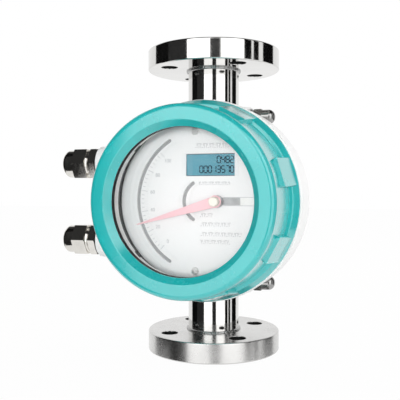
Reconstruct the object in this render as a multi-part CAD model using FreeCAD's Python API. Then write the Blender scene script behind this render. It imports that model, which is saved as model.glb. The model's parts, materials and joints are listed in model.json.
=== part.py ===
import FreeCAD, Part
import math
import os

from FreeCAD import Vector

# Metal tube flow meter: a flanged upright tube with a magnetic float in it,
# and a round indicator with a dial and a display, clamped to its front.
# Millimetres. The origin is the centre of the lower raised face, +Z runs up the tube, the dial faces -Y.

# Flow tube and flanges
FACE_TO_FACE = 265.0
TUBE_R = 22.25
FLANGE_R = 57.5
FLANGE_RIM = 17.0
FLANGE_EDGE = 1.2
RAISED_FACE_R = 34.0
RAISED_FACE_H = 2.0
WELD_LEG = 1.5
WELD_FIT = 0.02
BOLT_CIRCLE_R = 42.5
BOLT_HOLE_R = 7.0
BOLT_HOLES = 4
FIRST_BOLT_DEG = 45.0

# Bore of the tube: wide ends for the guides, and a cone between them that the float rides in
INLET_R = 17.5
OUTLET_R = 18.0
CONE_LOW_R = 13.9
CONE_HIGH_R = 16.6
LOWER_STOP_Z = 66.0
UPPER_STOP_Z = 199.0
CONE_LEAD = 6.0
RING_GROOVE_R = 19.4
RING_GROOVE_W = 1.7

# Float guides and their retaining rings
GUIDE_H = 6.4
GUIDE_FIT = 0.05
GUIDE_WALL = 2.0
GUIDE_ARMS = 3
GUIDE_ARM_W = 3.0
GUIDE_HUB_R = 5.0
STEM_R = 2.5
STEM_FIT = 0.06
RING_T = 1.5
RING_FIT = 0.2
RING_WIDTH = 3.6
RING_GAP = 7.0
RING_EAR_R = 2.6
RING_EYE_R = 0.9

# Float, at the place where the pointer shows about a third of full flow
FLOAT_Z = 124.5
FLOAT_R = 12.0
FLOAT_EDGE_R = 13.2
FLOAT_HALF = 27.0
FLOAT_NOSE_R = 5.0
FLOAT_NOSE_H = 11.0
FLOAT_CAP_Z = 15.0
FLOAT_EDGE_Z = 19.5
FLOAT_EDGE_H = 1.6
FLOAT_CROWN_R = 8.5
FLOAT_POCKET_R = 9.5
FLOAT_MAGNET_R = 9.4
FLOAT_SLIP = 0.03
STEM_LOW_Z = 25.0
STEM_HIGH_Z = 227.0
STEM_TIP = 1.0
STEM_NUT_AF = 8.0
STEM_NUT_H = 3.0

# Housing, in the dial frame: x right, y up, z out of the dial, measured from the tube's axis at mid height
HOUSING_R = 84.5
HOUSING_BACK = -14.0
HOUSING_BACK_ROUND = 14.0
HOUSING_FRONT = 36.0
HOUSING_FRONT_ROUND = 1.6
HOUSING_WALL = 4.5
CAVITY_ROUND = 9.5
NECK_R = 70.7
NECK_BORE_R = 67.5
NECK_FRONT = 59.0
NECK_EDGE = 1.0
TUNNEL_HALF = 27.0
TUNNEL_TOP = 27.0
TUNNEL_ROUND = 12.0
CHANNEL_FIT = 0.05
PILLAR_X = 33.0
PILLAR_Y = 7.0
PILLAR_R = 4.5
PILLAR_ROOT = 1.0

# Clamp ears behind the tube, and the bolts through them
CLAMP_Y = 75.0
CLAMP_BOLT_R = 4.0
CLAMP_CONTACT = 0.05
CLAMP_HOLE_FIT = 0.25
EAR_R = 11.0
EAR_T = 5.2
EAR_FRONT = 14.0
EAR_FRONT_TOP = 79.5
EAR_ROUND = 10.0
HEAD_AF = 14.0
HEAD_H = 5.3
WASHER_R = 8.0
WASHER_T = 1.6
SPRING_R = 7.0
SPRING_T = 2.0
SPRING_SLIT = 1.0
NUT_AF = 14.0
NUT_H = 7.0
NUT_DOME_R = 6.6
NUT_DOME_H = 11.6
NUT_DOME_ROUND = 5.8
NUT_THREAD_DEPTH = 11.0
BOLT_IN_NUT = 9.5
THREAD_FIT = 0.05

# Cable glands on the left side
GLAND_Y = (33.0, -36.0)
GLAND_Z = 18.0
SPOUT_R = 15.5
SPOUT_FACE_X = -100.3
SPOUT_ROOT_X = -60.0
SPOUT_EDGE = 1.2
GLAND_THREAD_R = 10.0
GLAND_AF = 26.0
GLAND_WASHER_R = 14.0
GLAND_WASHER_T = 1.5
GLAND_HEX_END = 8.2
GLAND_NECK_R = 12.2
GLAND_NECK_END = 11.6
GLAND_SHANK = 16.0
GLAND_STEM_R = 10.6
GLAND_STEM_END = 20.0
GLAND_BORE_R = 7.6
NUT_HEX_END = 24.5
NUT_SKIRT_R = 12.6
NUT_END = 35.5
NUT_END_ROUND = 4.5
NUT_MOUTH_R = 7.2
NUT_POCKET_R = 10.7
NUT_LIP = 3.5
GLAND_SEAL_R = 10.5
GLAND_CABLE_R = 5.0

# Hexagons of the bolts, nuts and glands
HEX_SIDES = 6
HEX_CHAMFER = 0.8
HEX_SLOPE = 0.5

# Screw cover
COVER_REAR = 36.8
COVER_RIM_R = 83.2
COVER_RIM_END = 40.5
COVER_RIM_NOSE_R = 79.4
COVER_RIM_NOSE = 47.8
COVER_RIM_ROUND = 1.8
WAIST_REAR_R = 76.2
WAIST_REAR = 48.6
WAIST_FRONT_R = 73.9
WAIST_FRONT = 84.0
BEZEL_R = 74.6
BEZEL_REAR = 86.0
COVER_FRONT = 91.5
BEZEL_ROUND = 4.8
BEZEL_INNER_R = 62.1
BEZEL_INNER_ROUND = 1.0
OPENING_R = 58.1
OPENING_FRONT = 86.0
OPENING_LIP_R = 57.4
OPENING_LIP_T = 0.6
LIP_REAR = 82.0
WINDOW_POCKET_R = 66.3
COVER_SHOULDER = 62.0
COVER_BORE_R = 71.0
LUGS = 8
FIRST_LUG_DEG = 17.0
LUG_W = 23.0
LUG_ROOT_R = 72.0
LUG_TOP_R = 81.2
LUG_REAR = 42.0
LUG_SHOULDER_R = 77.2
LUG_SHOULDER = 69.5
LUG_ROUND = 1.2
LUG_FRONT_R = 74.0
LUG_FRONT = 73.2
LUG_CORNER = 5.0
LUG_EDGE = 0.8
SEAL_CENTRE_R = 77.3
SEAL_R = 1.5
SEAL_GAP = 0.3
SEAL_GROOVE_W = 3.6
SEAL_GROOVE_H = 3.0

# Window
GASKET_T = 1.5
GASKET_R = 65.8
GASKET_BORE_R = 57.4
GASKET_FIT = 0.05
GASKET_NOSE = 85.35
GLASS_T = 5.0
GLASS_R = 65.5
GLASS_EDGE = 0.6
HOLD_RING_R = 66.2
HOLD_RING_BORE_R = 60.0
HOLD_RING_H = 7.5
HOLD_NOTCHES = 4
HOLD_NOTCH_W = 7.0
HOLD_NOTCH_H = 3.0
FIRST_NOTCH_DEG = 45.0

# Dial
DIAL_R = 66.0
DIAL_BACK = 48.5
DIAL_T = 1.5
DIAL_SCREW_Y = 56.5
PIVOT_X = 19.0
CURVED_SLOT_X = 8.0
SCALE_SLOT_R = 58.0
SCALE_SLOT_HALF_DEG = 58.5
INNER_SLOT_R = 17.7
INNER_SLOT_HALF_DEG = 56.0
CURVED_SLOT_W = 3.0
RADIAL_SLOT_W = 6.0
RADIAL_SLOT_END_X = 51.0
DISPLAY_X = 12.5
DISPLAY_Y = 29.5
DISPLAY_W = 41.0
DISPLAY_H = 18.0
POST_AF = 7.0
POST_STUD_R = 2.0
POST_STUD_L = 3.5
SCREW_R = 1.5
SCREW_FIT = 0.1
SCREW_HEAD_R = 3.0
SCREW_HEAD_H = 1.8
SCREW_SLOT_W = 0.8
SCREW_SLOT_H = 0.8
SCREW_L = 8.0

# Display and circuit board behind the dial
BOARD_X = 8.0
BOARD_Y = 29.5
BOARD_W = 76.0
BOARD_H = 33.0
BOARD_ROUND = 2.5
BOARD_BACK = 40.0
BOARD_T = 1.6
SPACER_X = 34.0
SPACER_Y = 12.5
SPACER_R = 2.6
BOARD_SCREW_R = 1.2
BOARD_SCREW_HEAD_R = 2.3
BOARD_SCREW_HEAD_H = 1.4
BOARD_SCREW_L = 5.0
MODULE_W = 48.0
MODULE_H = 24.0
MODULE_GAP = 0.2
MODULE_STEP = 1.0
MODULE_ROUND = 1.2

# Movement: a C-shaped frame that carries the pointer shaft in two bearings
FRAME_LEFT_X = -13.0
FRAME_RIGHT_X = 39.0
FRAME_HALF_Y = 11.0
FRAME_WALL = 2.5
FRAME_FRONT = 44.5
FRAME_FRONT_X = 9.0
FRAME_SCREW_X = (-8.5, 33.0)
FRAME_SCREW_Y = 7.0
FRAME_SCREW_HEAD_R = 2.4
FRAME_SCREW_L = 8.0
BEARING_R = 3.0
BEARING_FLANGE_R = 4.0
BEARING_FLANGE_T = 0.7
SHAFT_R = 1.0
SHAFT_FIT = 0.05
SHAFT_GRIP = 0.02
SHAFT_REAR = 27.4
SHAFT_FRONT = 61.0
ARM_REAR = 31.6
ARM_T = 2.4
ARM_HUB_R = 4.0
ARM_W = 4.0
ARM_REACH = 14.0
ARM_END_R = 5.6
ARM_TAIL = 9.0
ARM_TAIL_R = 3.8
FOLLOWER_R = 4.0
FOLLOWER_REAR = 30.4
FOLLOWER_H = 5.0
DISC_R = 13.0
DISC_REAR = 37.0
DISC_T = 1.0
DISC_COLLAR_R = 3.0
DISC_COLLAR_REAR = 35.0
DISC_COLLAR_FRONT = 40.0
DAMPER_LEFT_X = 26.5
DAMPER_HALF_Y = 5.0
DAMPER_REAR = 34.8
DAMPER_FRONT = 40.2
DAMPER_SLOT_X = 33.5
DAMPER_SLOT_SIDE = 0.6

# Pointer
POINTER_DEG = 16.0
POINTER_L = 70.0
POINTER_TIP_W = 0.8
POINTER_ROOT_W = 8.6
POINTER_ROOT_X = -3.0
POINTER_REAR = 57.2
POINTER_T = 0.8
HUB_BASE_R = 5.0
HUB_BASE_REAR = 51.0
HUB_BASE_END = 54.0
HUB_WAIST_R = 3.4
HUB_TOP_R = 4.6
HUB_TOP_REAR = 56.0
CAP_R = 3.9
CAP_FRONT = 64.0
CAP_ROUND = 1.2

# Terminal block on the housing's floor
TERMINAL_X = -51.0
TERMINAL_W = 18.0
TERMINAL_L = 38.0
TERMINAL_H = 15.0
TERMINAL_STEP_W = 7.0
TERMINAL_STEP_H = 6.0
TERMINAL_WAYS = 5
TERMINAL_PITCH = 7.0
TERMINAL_POCKET_W = 4.6
TERMINAL_POCKET_DEPTH = 5.0

# Values that follow from the sizes above
MID_Z = FACE_TO_FACE / 2
FULL_TURN = 360.0
QUARTER = 90.0
THIRD = 120.0
CLAMP_Z = -(TUBE_R + CLAMP_BOLT_R + CLAMP_CONTACT)
CHANNEL_R = TUBE_R + CHANNEL_FIT
EAR_OUTER_X = CHANNEL_R + EAR_T
NUT_SEAT = EAR_OUTER_X + WASHER_T + SPRING_T
CAVITY_R = HOUSING_R - HOUSING_WALL
CAVITY_FLOOR = HOUSING_BACK + HOUSING_WALL
CAVITY_FRONT = HOUSING_FRONT - HOUSING_WALL
DIAL_FACE = DIAL_BACK + DIAL_T
GLASS_FRONT = LIP_REAR - GASKET_T
GLASS_BACK = GLASS_FRONT - GLASS_T
BOARD_FRONT = BOARD_BACK + BOARD_T
FRAME_FLOOR = TUNNEL_TOP + FRAME_WALL
STEM_HOLE_R = STEM_R + FLOAT_SLIP
SHAFT_HOLE_R = SHAFT_R + SHAFT_GRIP
ORIGIN = Vector(0, 0, 0)
X_AXIS = Vector(1, 0, 0)
Y_AXIS = Vector(0, 1, 0)
Z_AXIS = Vector(0, 0, 1)
CORNER_AXIS = Vector(1, 1, 1)
TOUCH = 1e-6


# Outlines and basic solids

def corner_arc(before, corner, after, radius):
    """Arc that rounds one corner of an outline, as its start, its end and its edge."""
    back = (before - corner).normalize()
    ahead = (after - corner).normalize()
    half = back.getAngle(ahead) / 2
    inward = (back + ahead).normalize()
    start = corner + back * (radius / math.tan(half))
    end = corner + ahead * (radius / math.tan(half))
    middle = corner + inward * (radius / math.sin(half) - radius)
    return start, end, Part.Arc(start, middle, end).toShape()


def outline(corners):
    """Closed face in the XY plane; a corner is (x, y), or (x, y, radius) where it is rounded."""
    points = [Vector(corner[0], corner[1], 0) for corner in corners]
    spans = []
    for index, corner in enumerate(corners):
        point = points[index]
        following = points[(index + 1) % len(points)]
        if len(corner) == 2:
            spans.append((point, point, None))
        else:
            spans.append(corner_arc(points[index - 1], point, following, corner[2]))
    edges = []
    for index, (start, end, arc) in enumerate(spans):
        if arc is not None:
            edges.append(arc)
        following = spans[(index + 1) % len(spans)][0]
        if end.distanceToPoint(following) > TOUCH:
            edges.append(Part.LineSegment(end, following).toShape())
    return Part.Face(Part.Wire(edges))


def slab(corners, low, high):
    """Outline in the XY plane, solid from one height to another."""
    face = outline(corners)
    face.translate(Vector(0, 0, low))
    return face.extrude(Vector(0, 0, high - low))


def lathe(corners):
    """Solid turned about Z from (radius, height) corners."""
    solid = outline(corners).revolve(ORIGIN, Y_AXIS, FULL_TURN)
    solid.rotate(ORIGIN, X_AXIS, QUARTER)
    return solid


def rod(radius, low, high, x=0.0, y=0.0):
    """Upright cylinder between two heights."""
    return Part.makeCylinder(radius, high - low, Vector(x, y, low))


def sleeve(outer, inner, low, high, x=0.0, y=0.0):
    """Upright ring between two heights."""
    return rod(outer, low, high, x, y).cut(rod(inner, low, high, x, y))


def block(low_x, high_x, low_y, high_y, low_z, high_z):
    """Box between two corners."""
    return Part.makeBox(high_x - low_x, high_y - low_y, high_z - low_z, Vector(low_x, low_y, low_z))


def rectangle(width, height, radius):
    """Corners of a centred rectangle with rounded corners."""
    half_w = width / 2
    half_h = height / 2
    return [
        (-half_w, -half_h, radius), (half_w, -half_h, radius),
        (half_w, half_h, radius), (-half_w, half_h, radius),
    ]


def hexagon(across_flats, low, high, chamfer=0.0):
    """Upright hexagon with its corners turned down at both ends."""
    reach = across_flats / 2 / math.cos(math.pi / HEX_SIDES)
    turns = [math.tau * step / HEX_SIDES for step in range(HEX_SIDES)]
    prism = slab([(reach * math.cos(turn), reach * math.sin(turn)) for turn in turns], low, high)
    if not chamfer:
        return prism
    flat = reach - chamfer
    slope = chamfer * HEX_SLOPE
    turned_down = lathe([
        (0, low), (flat, low), (reach, low + slope),
        (reach, high - slope), (flat, high), (0, high),
    ])
    return prism.common(turned_down)


def turned(shape, degrees, axis=Z_AXIS):
    """Copy of a shape turned about an axis through the origin."""
    copy = shape.copy()
    copy.rotate(ORIGIN, axis, degrees)
    return copy


def moved(shape, x=0.0, y=0.0, z=0.0):
    """Copy of a shape moved by a step."""
    copy = shape.copy()
    copy.translate(Vector(x, y, z))
    return copy


def on_dial(shape):
    """Shape of the dial frame, stood up in front of the tube."""
    return moved(turned(shape, QUARTER, X_AXIS), z=MID_Z)


# Flow tube

def measuring_tube():
    """Tube with a conical bore, shoulders for the guides and grooves for their rings."""
    slack = (RING_GROOVE_W - RING_T) / 2
    low_groove_top = LOWER_STOP_Z - GUIDE_H + slack
    low_groove_foot = low_groove_top - RING_GROOVE_W
    high_groove_foot = UPPER_STOP_Z + GUIDE_H - slack
    high_groove_top = high_groove_foot + RING_GROOVE_W
    return lathe([
        (INLET_R, 0), (TUBE_R, 0), (TUBE_R, FACE_TO_FACE), (OUTLET_R, FACE_TO_FACE),
        (OUTLET_R, high_groove_top), (RING_GROOVE_R, high_groove_top),
        (RING_GROOVE_R, high_groove_foot), (OUTLET_R, high_groove_foot),
        (OUTLET_R, UPPER_STOP_Z), (CONE_HIGH_R, UPPER_STOP_Z), (CONE_HIGH_R, UPPER_STOP_Z - CONE_LEAD),
        (CONE_LOW_R, LOWER_STOP_Z + CONE_LEAD), (CONE_LOW_R, LOWER_STOP_Z), (INLET_R, LOWER_STOP_Z),
        (INLET_R, low_groove_top), (RING_GROOVE_R, low_groove_top),
        (RING_GROOVE_R, low_groove_foot), (INLET_R, low_groove_foot),
    ])


def flange():
    """Lower flange: raised face, rim with bolt holes, and the weld fillet against the tube."""
    bore = TUBE_R + WELD_FIT
    rim_top = RAISED_FACE_H + FLANGE_RIM
    ring = lathe([
        (bore, 0), (RAISED_FACE_R, 0), (RAISED_FACE_R, RAISED_FACE_H),
        (FLANGE_R, RAISED_FACE_H, FLANGE_EDGE), (FLANGE_R, rim_top, FLANGE_EDGE),
        (bore + WELD_LEG, rim_top), (bore, rim_top + WELD_LEG),
    ])
    for step in range(BOLT_HOLES):
        turn = math.radians(FIRST_BOLT_DEG + step * FULL_TURN / BOLT_HOLES)
        hole = rod(BOLT_HOLE_R, 0, rim_top, BOLT_CIRCLE_R * math.cos(turn), BOLT_CIRCLE_R * math.sin(turn))
        ring = ring.cut(hole)
    return ring


def upper_flange():
    """The same flange, turned over at the outlet."""
    return moved(turned(flange(), FULL_TURN / 2, X_AXIS), z=FACE_TO_FACE)


def guide(bore, foot):
    """Spider that centres the float's stem in the tube."""
    outer = bore - GUIDE_FIT
    inner = outer - GUIDE_WALL
    spider = sleeve(outer, inner, foot, foot + GUIDE_H).fuse(rod(GUIDE_HUB_R, foot, foot + GUIDE_H))
    arm = block(0, outer - GUIDE_WALL / 2, -GUIDE_ARM_W / 2, GUIDE_ARM_W / 2, foot, foot + GUIDE_H)
    for step in range(GUIDE_ARMS):
        spider = spider.fuse(turned(arm, step * FULL_TURN / GUIDE_ARMS + QUARTER))
    return spider.cut(rod(STEM_R + STEM_FIT, foot, foot + GUIDE_H)).removeSplitter()


def retaining_ring(foot):
    """Open spring ring with an eye at each end."""
    outer = RING_GROOVE_R - RING_FIT
    inner = outer - RING_WIDTH
    top = foot + RING_T
    ring = sleeve(outer, inner, foot, top).cut(block(0, outer, -RING_GAP / 2, RING_GAP / 2, foot, top))
    across = RING_GAP / 2 + RING_EAR_R
    along = math.sqrt(inner ** 2 - across ** 2)
    for side in (across, -across):
        ring = ring.fuse(rod(RING_EAR_R, foot, top, along, side))
    for side in (across, -across):
        ring = ring.cut(rod(RING_EYE_R, foot, top, along, side))
    return ring.removeSplitter()


# Float

def float_body():
    """Hollow float with a conical nose and a pocket for the magnet."""
    return moved(lathe([
        (STEM_HOLE_R, -FLOAT_HALF), (FLOAT_NOSE_R, -FLOAT_HALF), (FLOAT_R, FLOAT_NOSE_H - FLOAT_HALF),
        (FLOAT_R, FLOAT_CAP_Z), (FLOAT_POCKET_R, FLOAT_CAP_Z), (FLOAT_POCKET_R, -FLOAT_CAP_Z),
        (STEM_HOLE_R, -FLOAT_CAP_Z),
    ]), z=FLOAT_Z)


def float_cap():
    """Lid of the float, with the sharp edge that meters the flow."""
    return moved(lathe([
        (STEM_HOLE_R, FLOAT_CAP_Z), (FLOAT_R, FLOAT_CAP_Z), (FLOAT_EDGE_R, FLOAT_EDGE_Z),
        (FLOAT_EDGE_R, FLOAT_EDGE_Z + FLOAT_EDGE_H), (FLOAT_CROWN_R, FLOAT_HALF), (STEM_HOLE_R, FLOAT_HALF),
    ]), z=FLOAT_Z)


def float_magnet():
    """Ring magnet in the float's pocket."""
    return sleeve(FLOAT_MAGNET_R, STEM_HOLE_R, FLOAT_Z - FLOAT_CAP_Z, FLOAT_Z + FLOAT_CAP_Z - FLOAT_SLIP)


def float_stem():
    """Long stem that slides in both guides."""
    tip = STEM_R - STEM_TIP
    return lathe([
        (0, STEM_LOW_Z), (tip, STEM_LOW_Z), (STEM_R, STEM_LOW_Z + STEM_TIP),
        (STEM_R, STEM_HIGH_Z - STEM_TIP), (tip, STEM_HIGH_Z), (0, STEM_HIGH_Z),
    ])


def stem_nuts():
    """Nuts that hold the float on its stem, one at each end."""
    nuts = []
    for foot in (FLOAT_Z - FLOAT_HALF - STEM_NUT_H, FLOAT_Z + FLOAT_HALF):
        top = foot + STEM_NUT_H
        nuts.append(hexagon(STEM_NUT_AF, foot, top).cut(rod(STEM_HOLE_R, foot, top)))
    return Part.makeCompound(nuts)


# Housing

def across_dial(solid):
    """Solid whose outline was drawn as (x, z) and whose thickness runs along the dial's y."""
    return turned(solid, QUARTER, X_AXIS)


def tube_channel(radius, foot):
    """Round-topped channel along the tube, open towards the back."""
    reach = 2 * HOUSING_R
    top = turned(rod(radius, -reach, reach), QUARTER, X_AXIS)
    return top.fuse(block(-radius, radius, -reach, reach, foot, 0))


def clamp_ear():
    """Upper right ear: a rounded lug behind the tube that runs out on the drum."""
    back = CLAMP_Z - EAR_R
    lug = slab([
        (back, CLAMP_Y - EAR_R, EAR_ROUND), (back, CLAMP_Y + EAR_R, EAR_ROUND),
        (EAR_FRONT, EAR_FRONT_TOP), (EAR_FRONT, CLAMP_Y - EAR_R),
    ], -EAR_OUTER_X, -CHANNEL_R)
    return turned(lug, -QUARTER, Y_AXIS)


def gland_spout(y):
    """Round spout that a cable gland screws into."""
    length = SPOUT_ROOT_X - SPOUT_FACE_X
    spout = lathe([(0, 0), (SPOUT_R, 0), (SPOUT_R, length, SPOUT_EDGE), (0, length)])
    return moved(turned(spout, -QUARTER, Y_AXIS), SPOUT_ROOT_X, y, GLAND_Z)


def housing_shell():
    """Cast drum with its neck, ears and spouts, before it is hollowed."""
    shell = lathe([
        (0, HOUSING_BACK), (HOUSING_R, HOUSING_BACK, HOUSING_BACK_ROUND),
        (HOUSING_R, HOUSING_FRONT, HOUSING_FRONT_ROUND), (NECK_R, HOUSING_FRONT),
        (NECK_R, NECK_FRONT - NECK_EDGE), (NECK_R - NECK_EDGE, NECK_FRONT), (0, NECK_FRONT),
    ])
    ear = clamp_ear()
    for lug in (ear, ear.mirror(ORIGIN, X_AXIS)):
        shell = shell.fuse(lug).fuse(lug.mirror(ORIGIN, Y_AXIS))
    for y in GLAND_Y:
        shell = shell.fuse(gland_spout(y))
    return shell


def housing_cavity():
    """Inside of the housing, with the tunnel over the tube left standing in it."""
    cavity = lathe([
        (0, CAVITY_FLOOR), (CAVITY_R, CAVITY_FLOOR, CAVITY_ROUND), (CAVITY_R, CAVITY_FRONT),
        (NECK_BORE_R, CAVITY_FRONT), (NECK_BORE_R, NECK_FRONT), (0, NECK_FRONT),
    ])
    tunnel = slab([
        (-TUNNEL_HALF, HOUSING_BACK), (TUNNEL_HALF, HOUSING_BACK),
        (TUNNEL_HALF, TUNNEL_TOP, TUNNEL_ROUND), (-TUNNEL_HALF, TUNNEL_TOP, TUNNEL_ROUND),
    ], -HOUSING_R, HOUSING_R)
    return cavity.cut(across_dial(tunnel))


def housing_holes():
    """Screw, stud, clamp bolt and gland holes of the housing."""
    holes = []
    for y in (DIAL_SCREW_Y, -DIAL_SCREW_Y):
        holes.append(rod(POST_STUD_R + SCREW_FIT, TUNNEL_TOP - POST_STUD_L - SCREW_FIT, TUNNEL_TOP, 0, y))
    for x in FRAME_SCREW_X:
        for y in (FRAME_SCREW_Y, -FRAME_SCREW_Y):
            foot = FRAME_FLOOR - FRAME_SCREW_L - SCREW_FIT
            holes.append(rod(SCREW_R + SCREW_FIT, foot, TUNNEL_TOP, x, y))
    cross_hole = rod(CLAMP_BOLT_R + CLAMP_HOLE_FIT, -HOUSING_R, HOUSING_R)
    for y in (CLAMP_Y, -CLAMP_Y):
        holes.append(moved(turned(cross_hole, QUARTER, Y_AXIS), 0, y, CLAMP_Z))
    gland_hole = turned(rod(GLAND_THREAD_R, 0, SPOUT_ROOT_X - SPOUT_FACE_X), QUARTER, Y_AXIS)
    for y in GLAND_Y:
        holes.append(moved(gland_hole, SPOUT_FACE_X, y, GLAND_Z))
    return holes


def housing():
    """Hollow housing with the tube's channel down its back."""
    shell = housing_shell().cut(housing_cavity())
    for y in (PILLAR_Y, -PILLAR_Y):
        shell = shell.fuse(rod(PILLAR_R, CAVITY_FLOOR - PILLAR_ROOT, TUNNEL_TOP, PILLAR_X, y))
    shell = shell.cut(tube_channel(CHANNEL_R, -HOUSING_R))
    for hole in housing_holes():
        shell = shell.cut(hole)
    return on_dial(shell.removeSplitter())


# Clamp fasteners

def across_tube(solids):
    """Pieces of one cross bolt, drawn upright, laid along +X above and below the dial."""
    placed = []
    for y in (CLAMP_Y, -CLAMP_Y):
        for solid in solids:
            placed.append(on_dial(moved(turned(solid, QUARTER, Y_AXIS), 0, y, CLAMP_Z)))
    return Part.makeCompound(placed)


def clamp_bolts():
    """Hexagon bolts behind the tube."""
    seat = -(EAR_OUTER_X + WASHER_T)
    head = hexagon(HEAD_AF, seat - HEAD_H, seat, HEX_CHAMFER)
    return across_tube([head.fuse(rod(CLAMP_BOLT_R, seat, NUT_SEAT + BOLT_IN_NUT))])


def clamp_washers():
    """Flat washers on the outer face of each ear."""
    hole = CLAMP_BOLT_R + CLAMP_HOLE_FIT
    right = sleeve(WASHER_R, hole, EAR_OUTER_X, EAR_OUTER_X + WASHER_T)
    left = sleeve(WASHER_R, hole, -EAR_OUTER_X - WASHER_T, -EAR_OUTER_X)
    return across_tube([right, left])


def spring_washers():
    """Split washers under the cap nuts."""
    foot = EAR_OUTER_X + WASHER_T
    ring = sleeve(SPRING_R, CLAMP_BOLT_R + CLAMP_HOLE_FIT, foot, foot + SPRING_T)
    slit = block(0, SPRING_R, -SPRING_SLIT / 2, SPRING_SLIT / 2, foot, foot + SPRING_T)
    return across_tube([ring.cut(slit)])


def cap_nuts():
    """Domed nuts on the right ends of the bolts."""
    hex_top = NUT_SEAT + NUT_H
    top = hex_top + NUT_DOME_H
    dome = lathe([
        (0, NUT_SEAT), (NUT_DOME_R, NUT_SEAT), (NUT_DOME_R, top, NUT_DOME_ROUND), (0, top),
    ])
    nut = hexagon(NUT_AF, NUT_SEAT, hex_top, HEX_CHAMFER).fuse(dome)
    return across_tube([nut.cut(rod(CLAMP_BOLT_R + THREAD_FIT, NUT_SEAT, NUT_SEAT + NUT_THREAD_DEPTH))])


# Cable glands

def on_spout(solid, y):
    """Gland piece drawn upright from the spout's face, turned to point left."""
    facing = turned(solid, -QUARTER, Y_AXIS)
    return on_dial(moved(facing, SPOUT_FACE_X, y, GLAND_Z))


def gland_washer(y):
    """Sealing washer between the spout and the gland."""
    return on_spout(sleeve(GLAND_WASHER_R, GLAND_THREAD_R, 0, GLAND_WASHER_T), y)


def gland_body(y):
    """Gland body: thread into the spout, hexagon, neck and the stem that the nut runs on."""
    body = hexagon(GLAND_AF, GLAND_WASHER_T, GLAND_HEX_END, HEX_CHAMFER)
    body = body.fuse(rod(GLAND_THREAD_R - THREAD_FIT, -GLAND_SHANK, GLAND_WASHER_T))
    body = body.fuse(rod(GLAND_NECK_R, GLAND_HEX_END, GLAND_NECK_END))
    body = body.fuse(rod(GLAND_STEM_R, GLAND_NECK_END, GLAND_STEM_END))
    return on_spout(body.cut(rod(GLAND_BORE_R, -GLAND_SHANK, GLAND_STEM_END)), y)


def gland_seal(y):
    """Rubber sleeve that grips the cable."""
    return on_spout(sleeve(GLAND_SEAL_R, GLAND_CABLE_R, GLAND_STEM_END, NUT_END - NUT_LIP), y)


def gland_nut(y):
    """Domed nut that squeezes the seal."""
    skirt = lathe([
        (0, GLAND_NECK_END), (NUT_SKIRT_R, GLAND_NECK_END),
        (NUT_SKIRT_R, NUT_END, NUT_END_ROUND), (0, NUT_END),
    ])
    nut = skirt.fuse(hexagon(GLAND_AF, GLAND_NECK_END, NUT_HEX_END, HEX_CHAMFER))
    nut = nut.cut(rod(NUT_POCKET_R, GLAND_NECK_END, NUT_END - NUT_LIP))
    return on_spout(nut.cut(rod(NUT_MOUTH_R, NUT_END - NUT_LIP, NUT_END)), y)


# Cover and window

def cover_lug():
    """One grip lug at the right of the cover: sloped top, steep nose and rounded corners at the front."""
    half = LUG_W / 2
    lug = across_dial(slab([
        (LUG_ROOT_R, LUG_REAR), (LUG_TOP_R, LUG_REAR),
        (LUG_SHOULDER_R, LUG_SHOULDER, LUG_ROUND), (LUG_FRONT_R, LUG_FRONT), (LUG_ROOT_R, LUG_FRONT),
    ], -half, half))
    plan = slab([
        (-half, LUG_REAR), (half, LUG_REAR), (half, LUG_FRONT, LUG_CORNER), (-half, LUG_FRONT, LUG_CORNER),
    ], LUG_ROOT_R, LUG_TOP_R)
    lug = lug.common(turned(plan, THIRD, CORNER_AXIS)).Solids[0]
    sides = []
    for edge in lug.Edges:
        box = edge.BoundBox
        if box.YLength < TOUCH < min(box.XLength, box.ZLength):
            sides.append(edge)
    return lug.makeFillet(LUG_EDGE, sides)


def front_cover():
    """Screw cover: bezel with a lip at its opening, waist with grip lugs, wide rim and the seal's groove."""
    rebate = OPENING_FRONT - OPENING_LIP_T
    cover = lathe([
        (COVER_BORE_R, COVER_REAR), (COVER_RIM_R, COVER_REAR),
        (COVER_RIM_R, COVER_RIM_END, COVER_RIM_ROUND),
        (COVER_RIM_NOSE_R, COVER_RIM_NOSE, COVER_RIM_ROUND), (WAIST_REAR_R, WAIST_REAR),
        (WAIST_FRONT_R, WAIST_FRONT), (BEZEL_R, BEZEL_REAR), (BEZEL_R, COVER_FRONT, BEZEL_ROUND),
        (BEZEL_INNER_R, COVER_FRONT, BEZEL_INNER_ROUND), (OPENING_LIP_R, OPENING_FRONT),
        (OPENING_LIP_R, rebate), (OPENING_R, rebate), (OPENING_R, LIP_REAR),
        (WINDOW_POCKET_R, LIP_REAR), (WINDOW_POCKET_R, COVER_SHOULDER), (COVER_BORE_R, COVER_SHOULDER),
    ])
    lug = cover_lug()
    for step in range(LUGS):
        cover = cover.fuse(turned(lug, FIRST_LUG_DEG + step * FULL_TURN / LUGS))
    half = SEAL_GROOVE_W / 2
    groove = sleeve(SEAL_CENTRE_R + half, SEAL_CENTRE_R - half, COVER_REAR, COVER_REAR + SEAL_GROOVE_H)
    return on_dial(cover.cut(groove).removeSplitter())


def cover_seal():
    """O-ring in the cover's rear face."""
    height = HOUSING_FRONT + SEAL_GAP + SEAL_R
    return on_dial(moved(Part.makeTorus(SEAL_CENTRE_R, SEAL_R), z=height))


def window_gasket():
    """Ring between the cover's lip and the glass, with a nose that lines the opening."""
    nose = OPENING_R - GASKET_FIT
    return on_dial(lathe([
        (GASKET_BORE_R, GLASS_FRONT), (GASKET_R, GLASS_FRONT), (GASKET_R, LIP_REAR), (nose, LIP_REAR),
        (nose, GASKET_NOSE), (GASKET_BORE_R, GASKET_NOSE),
    ]))


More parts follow.
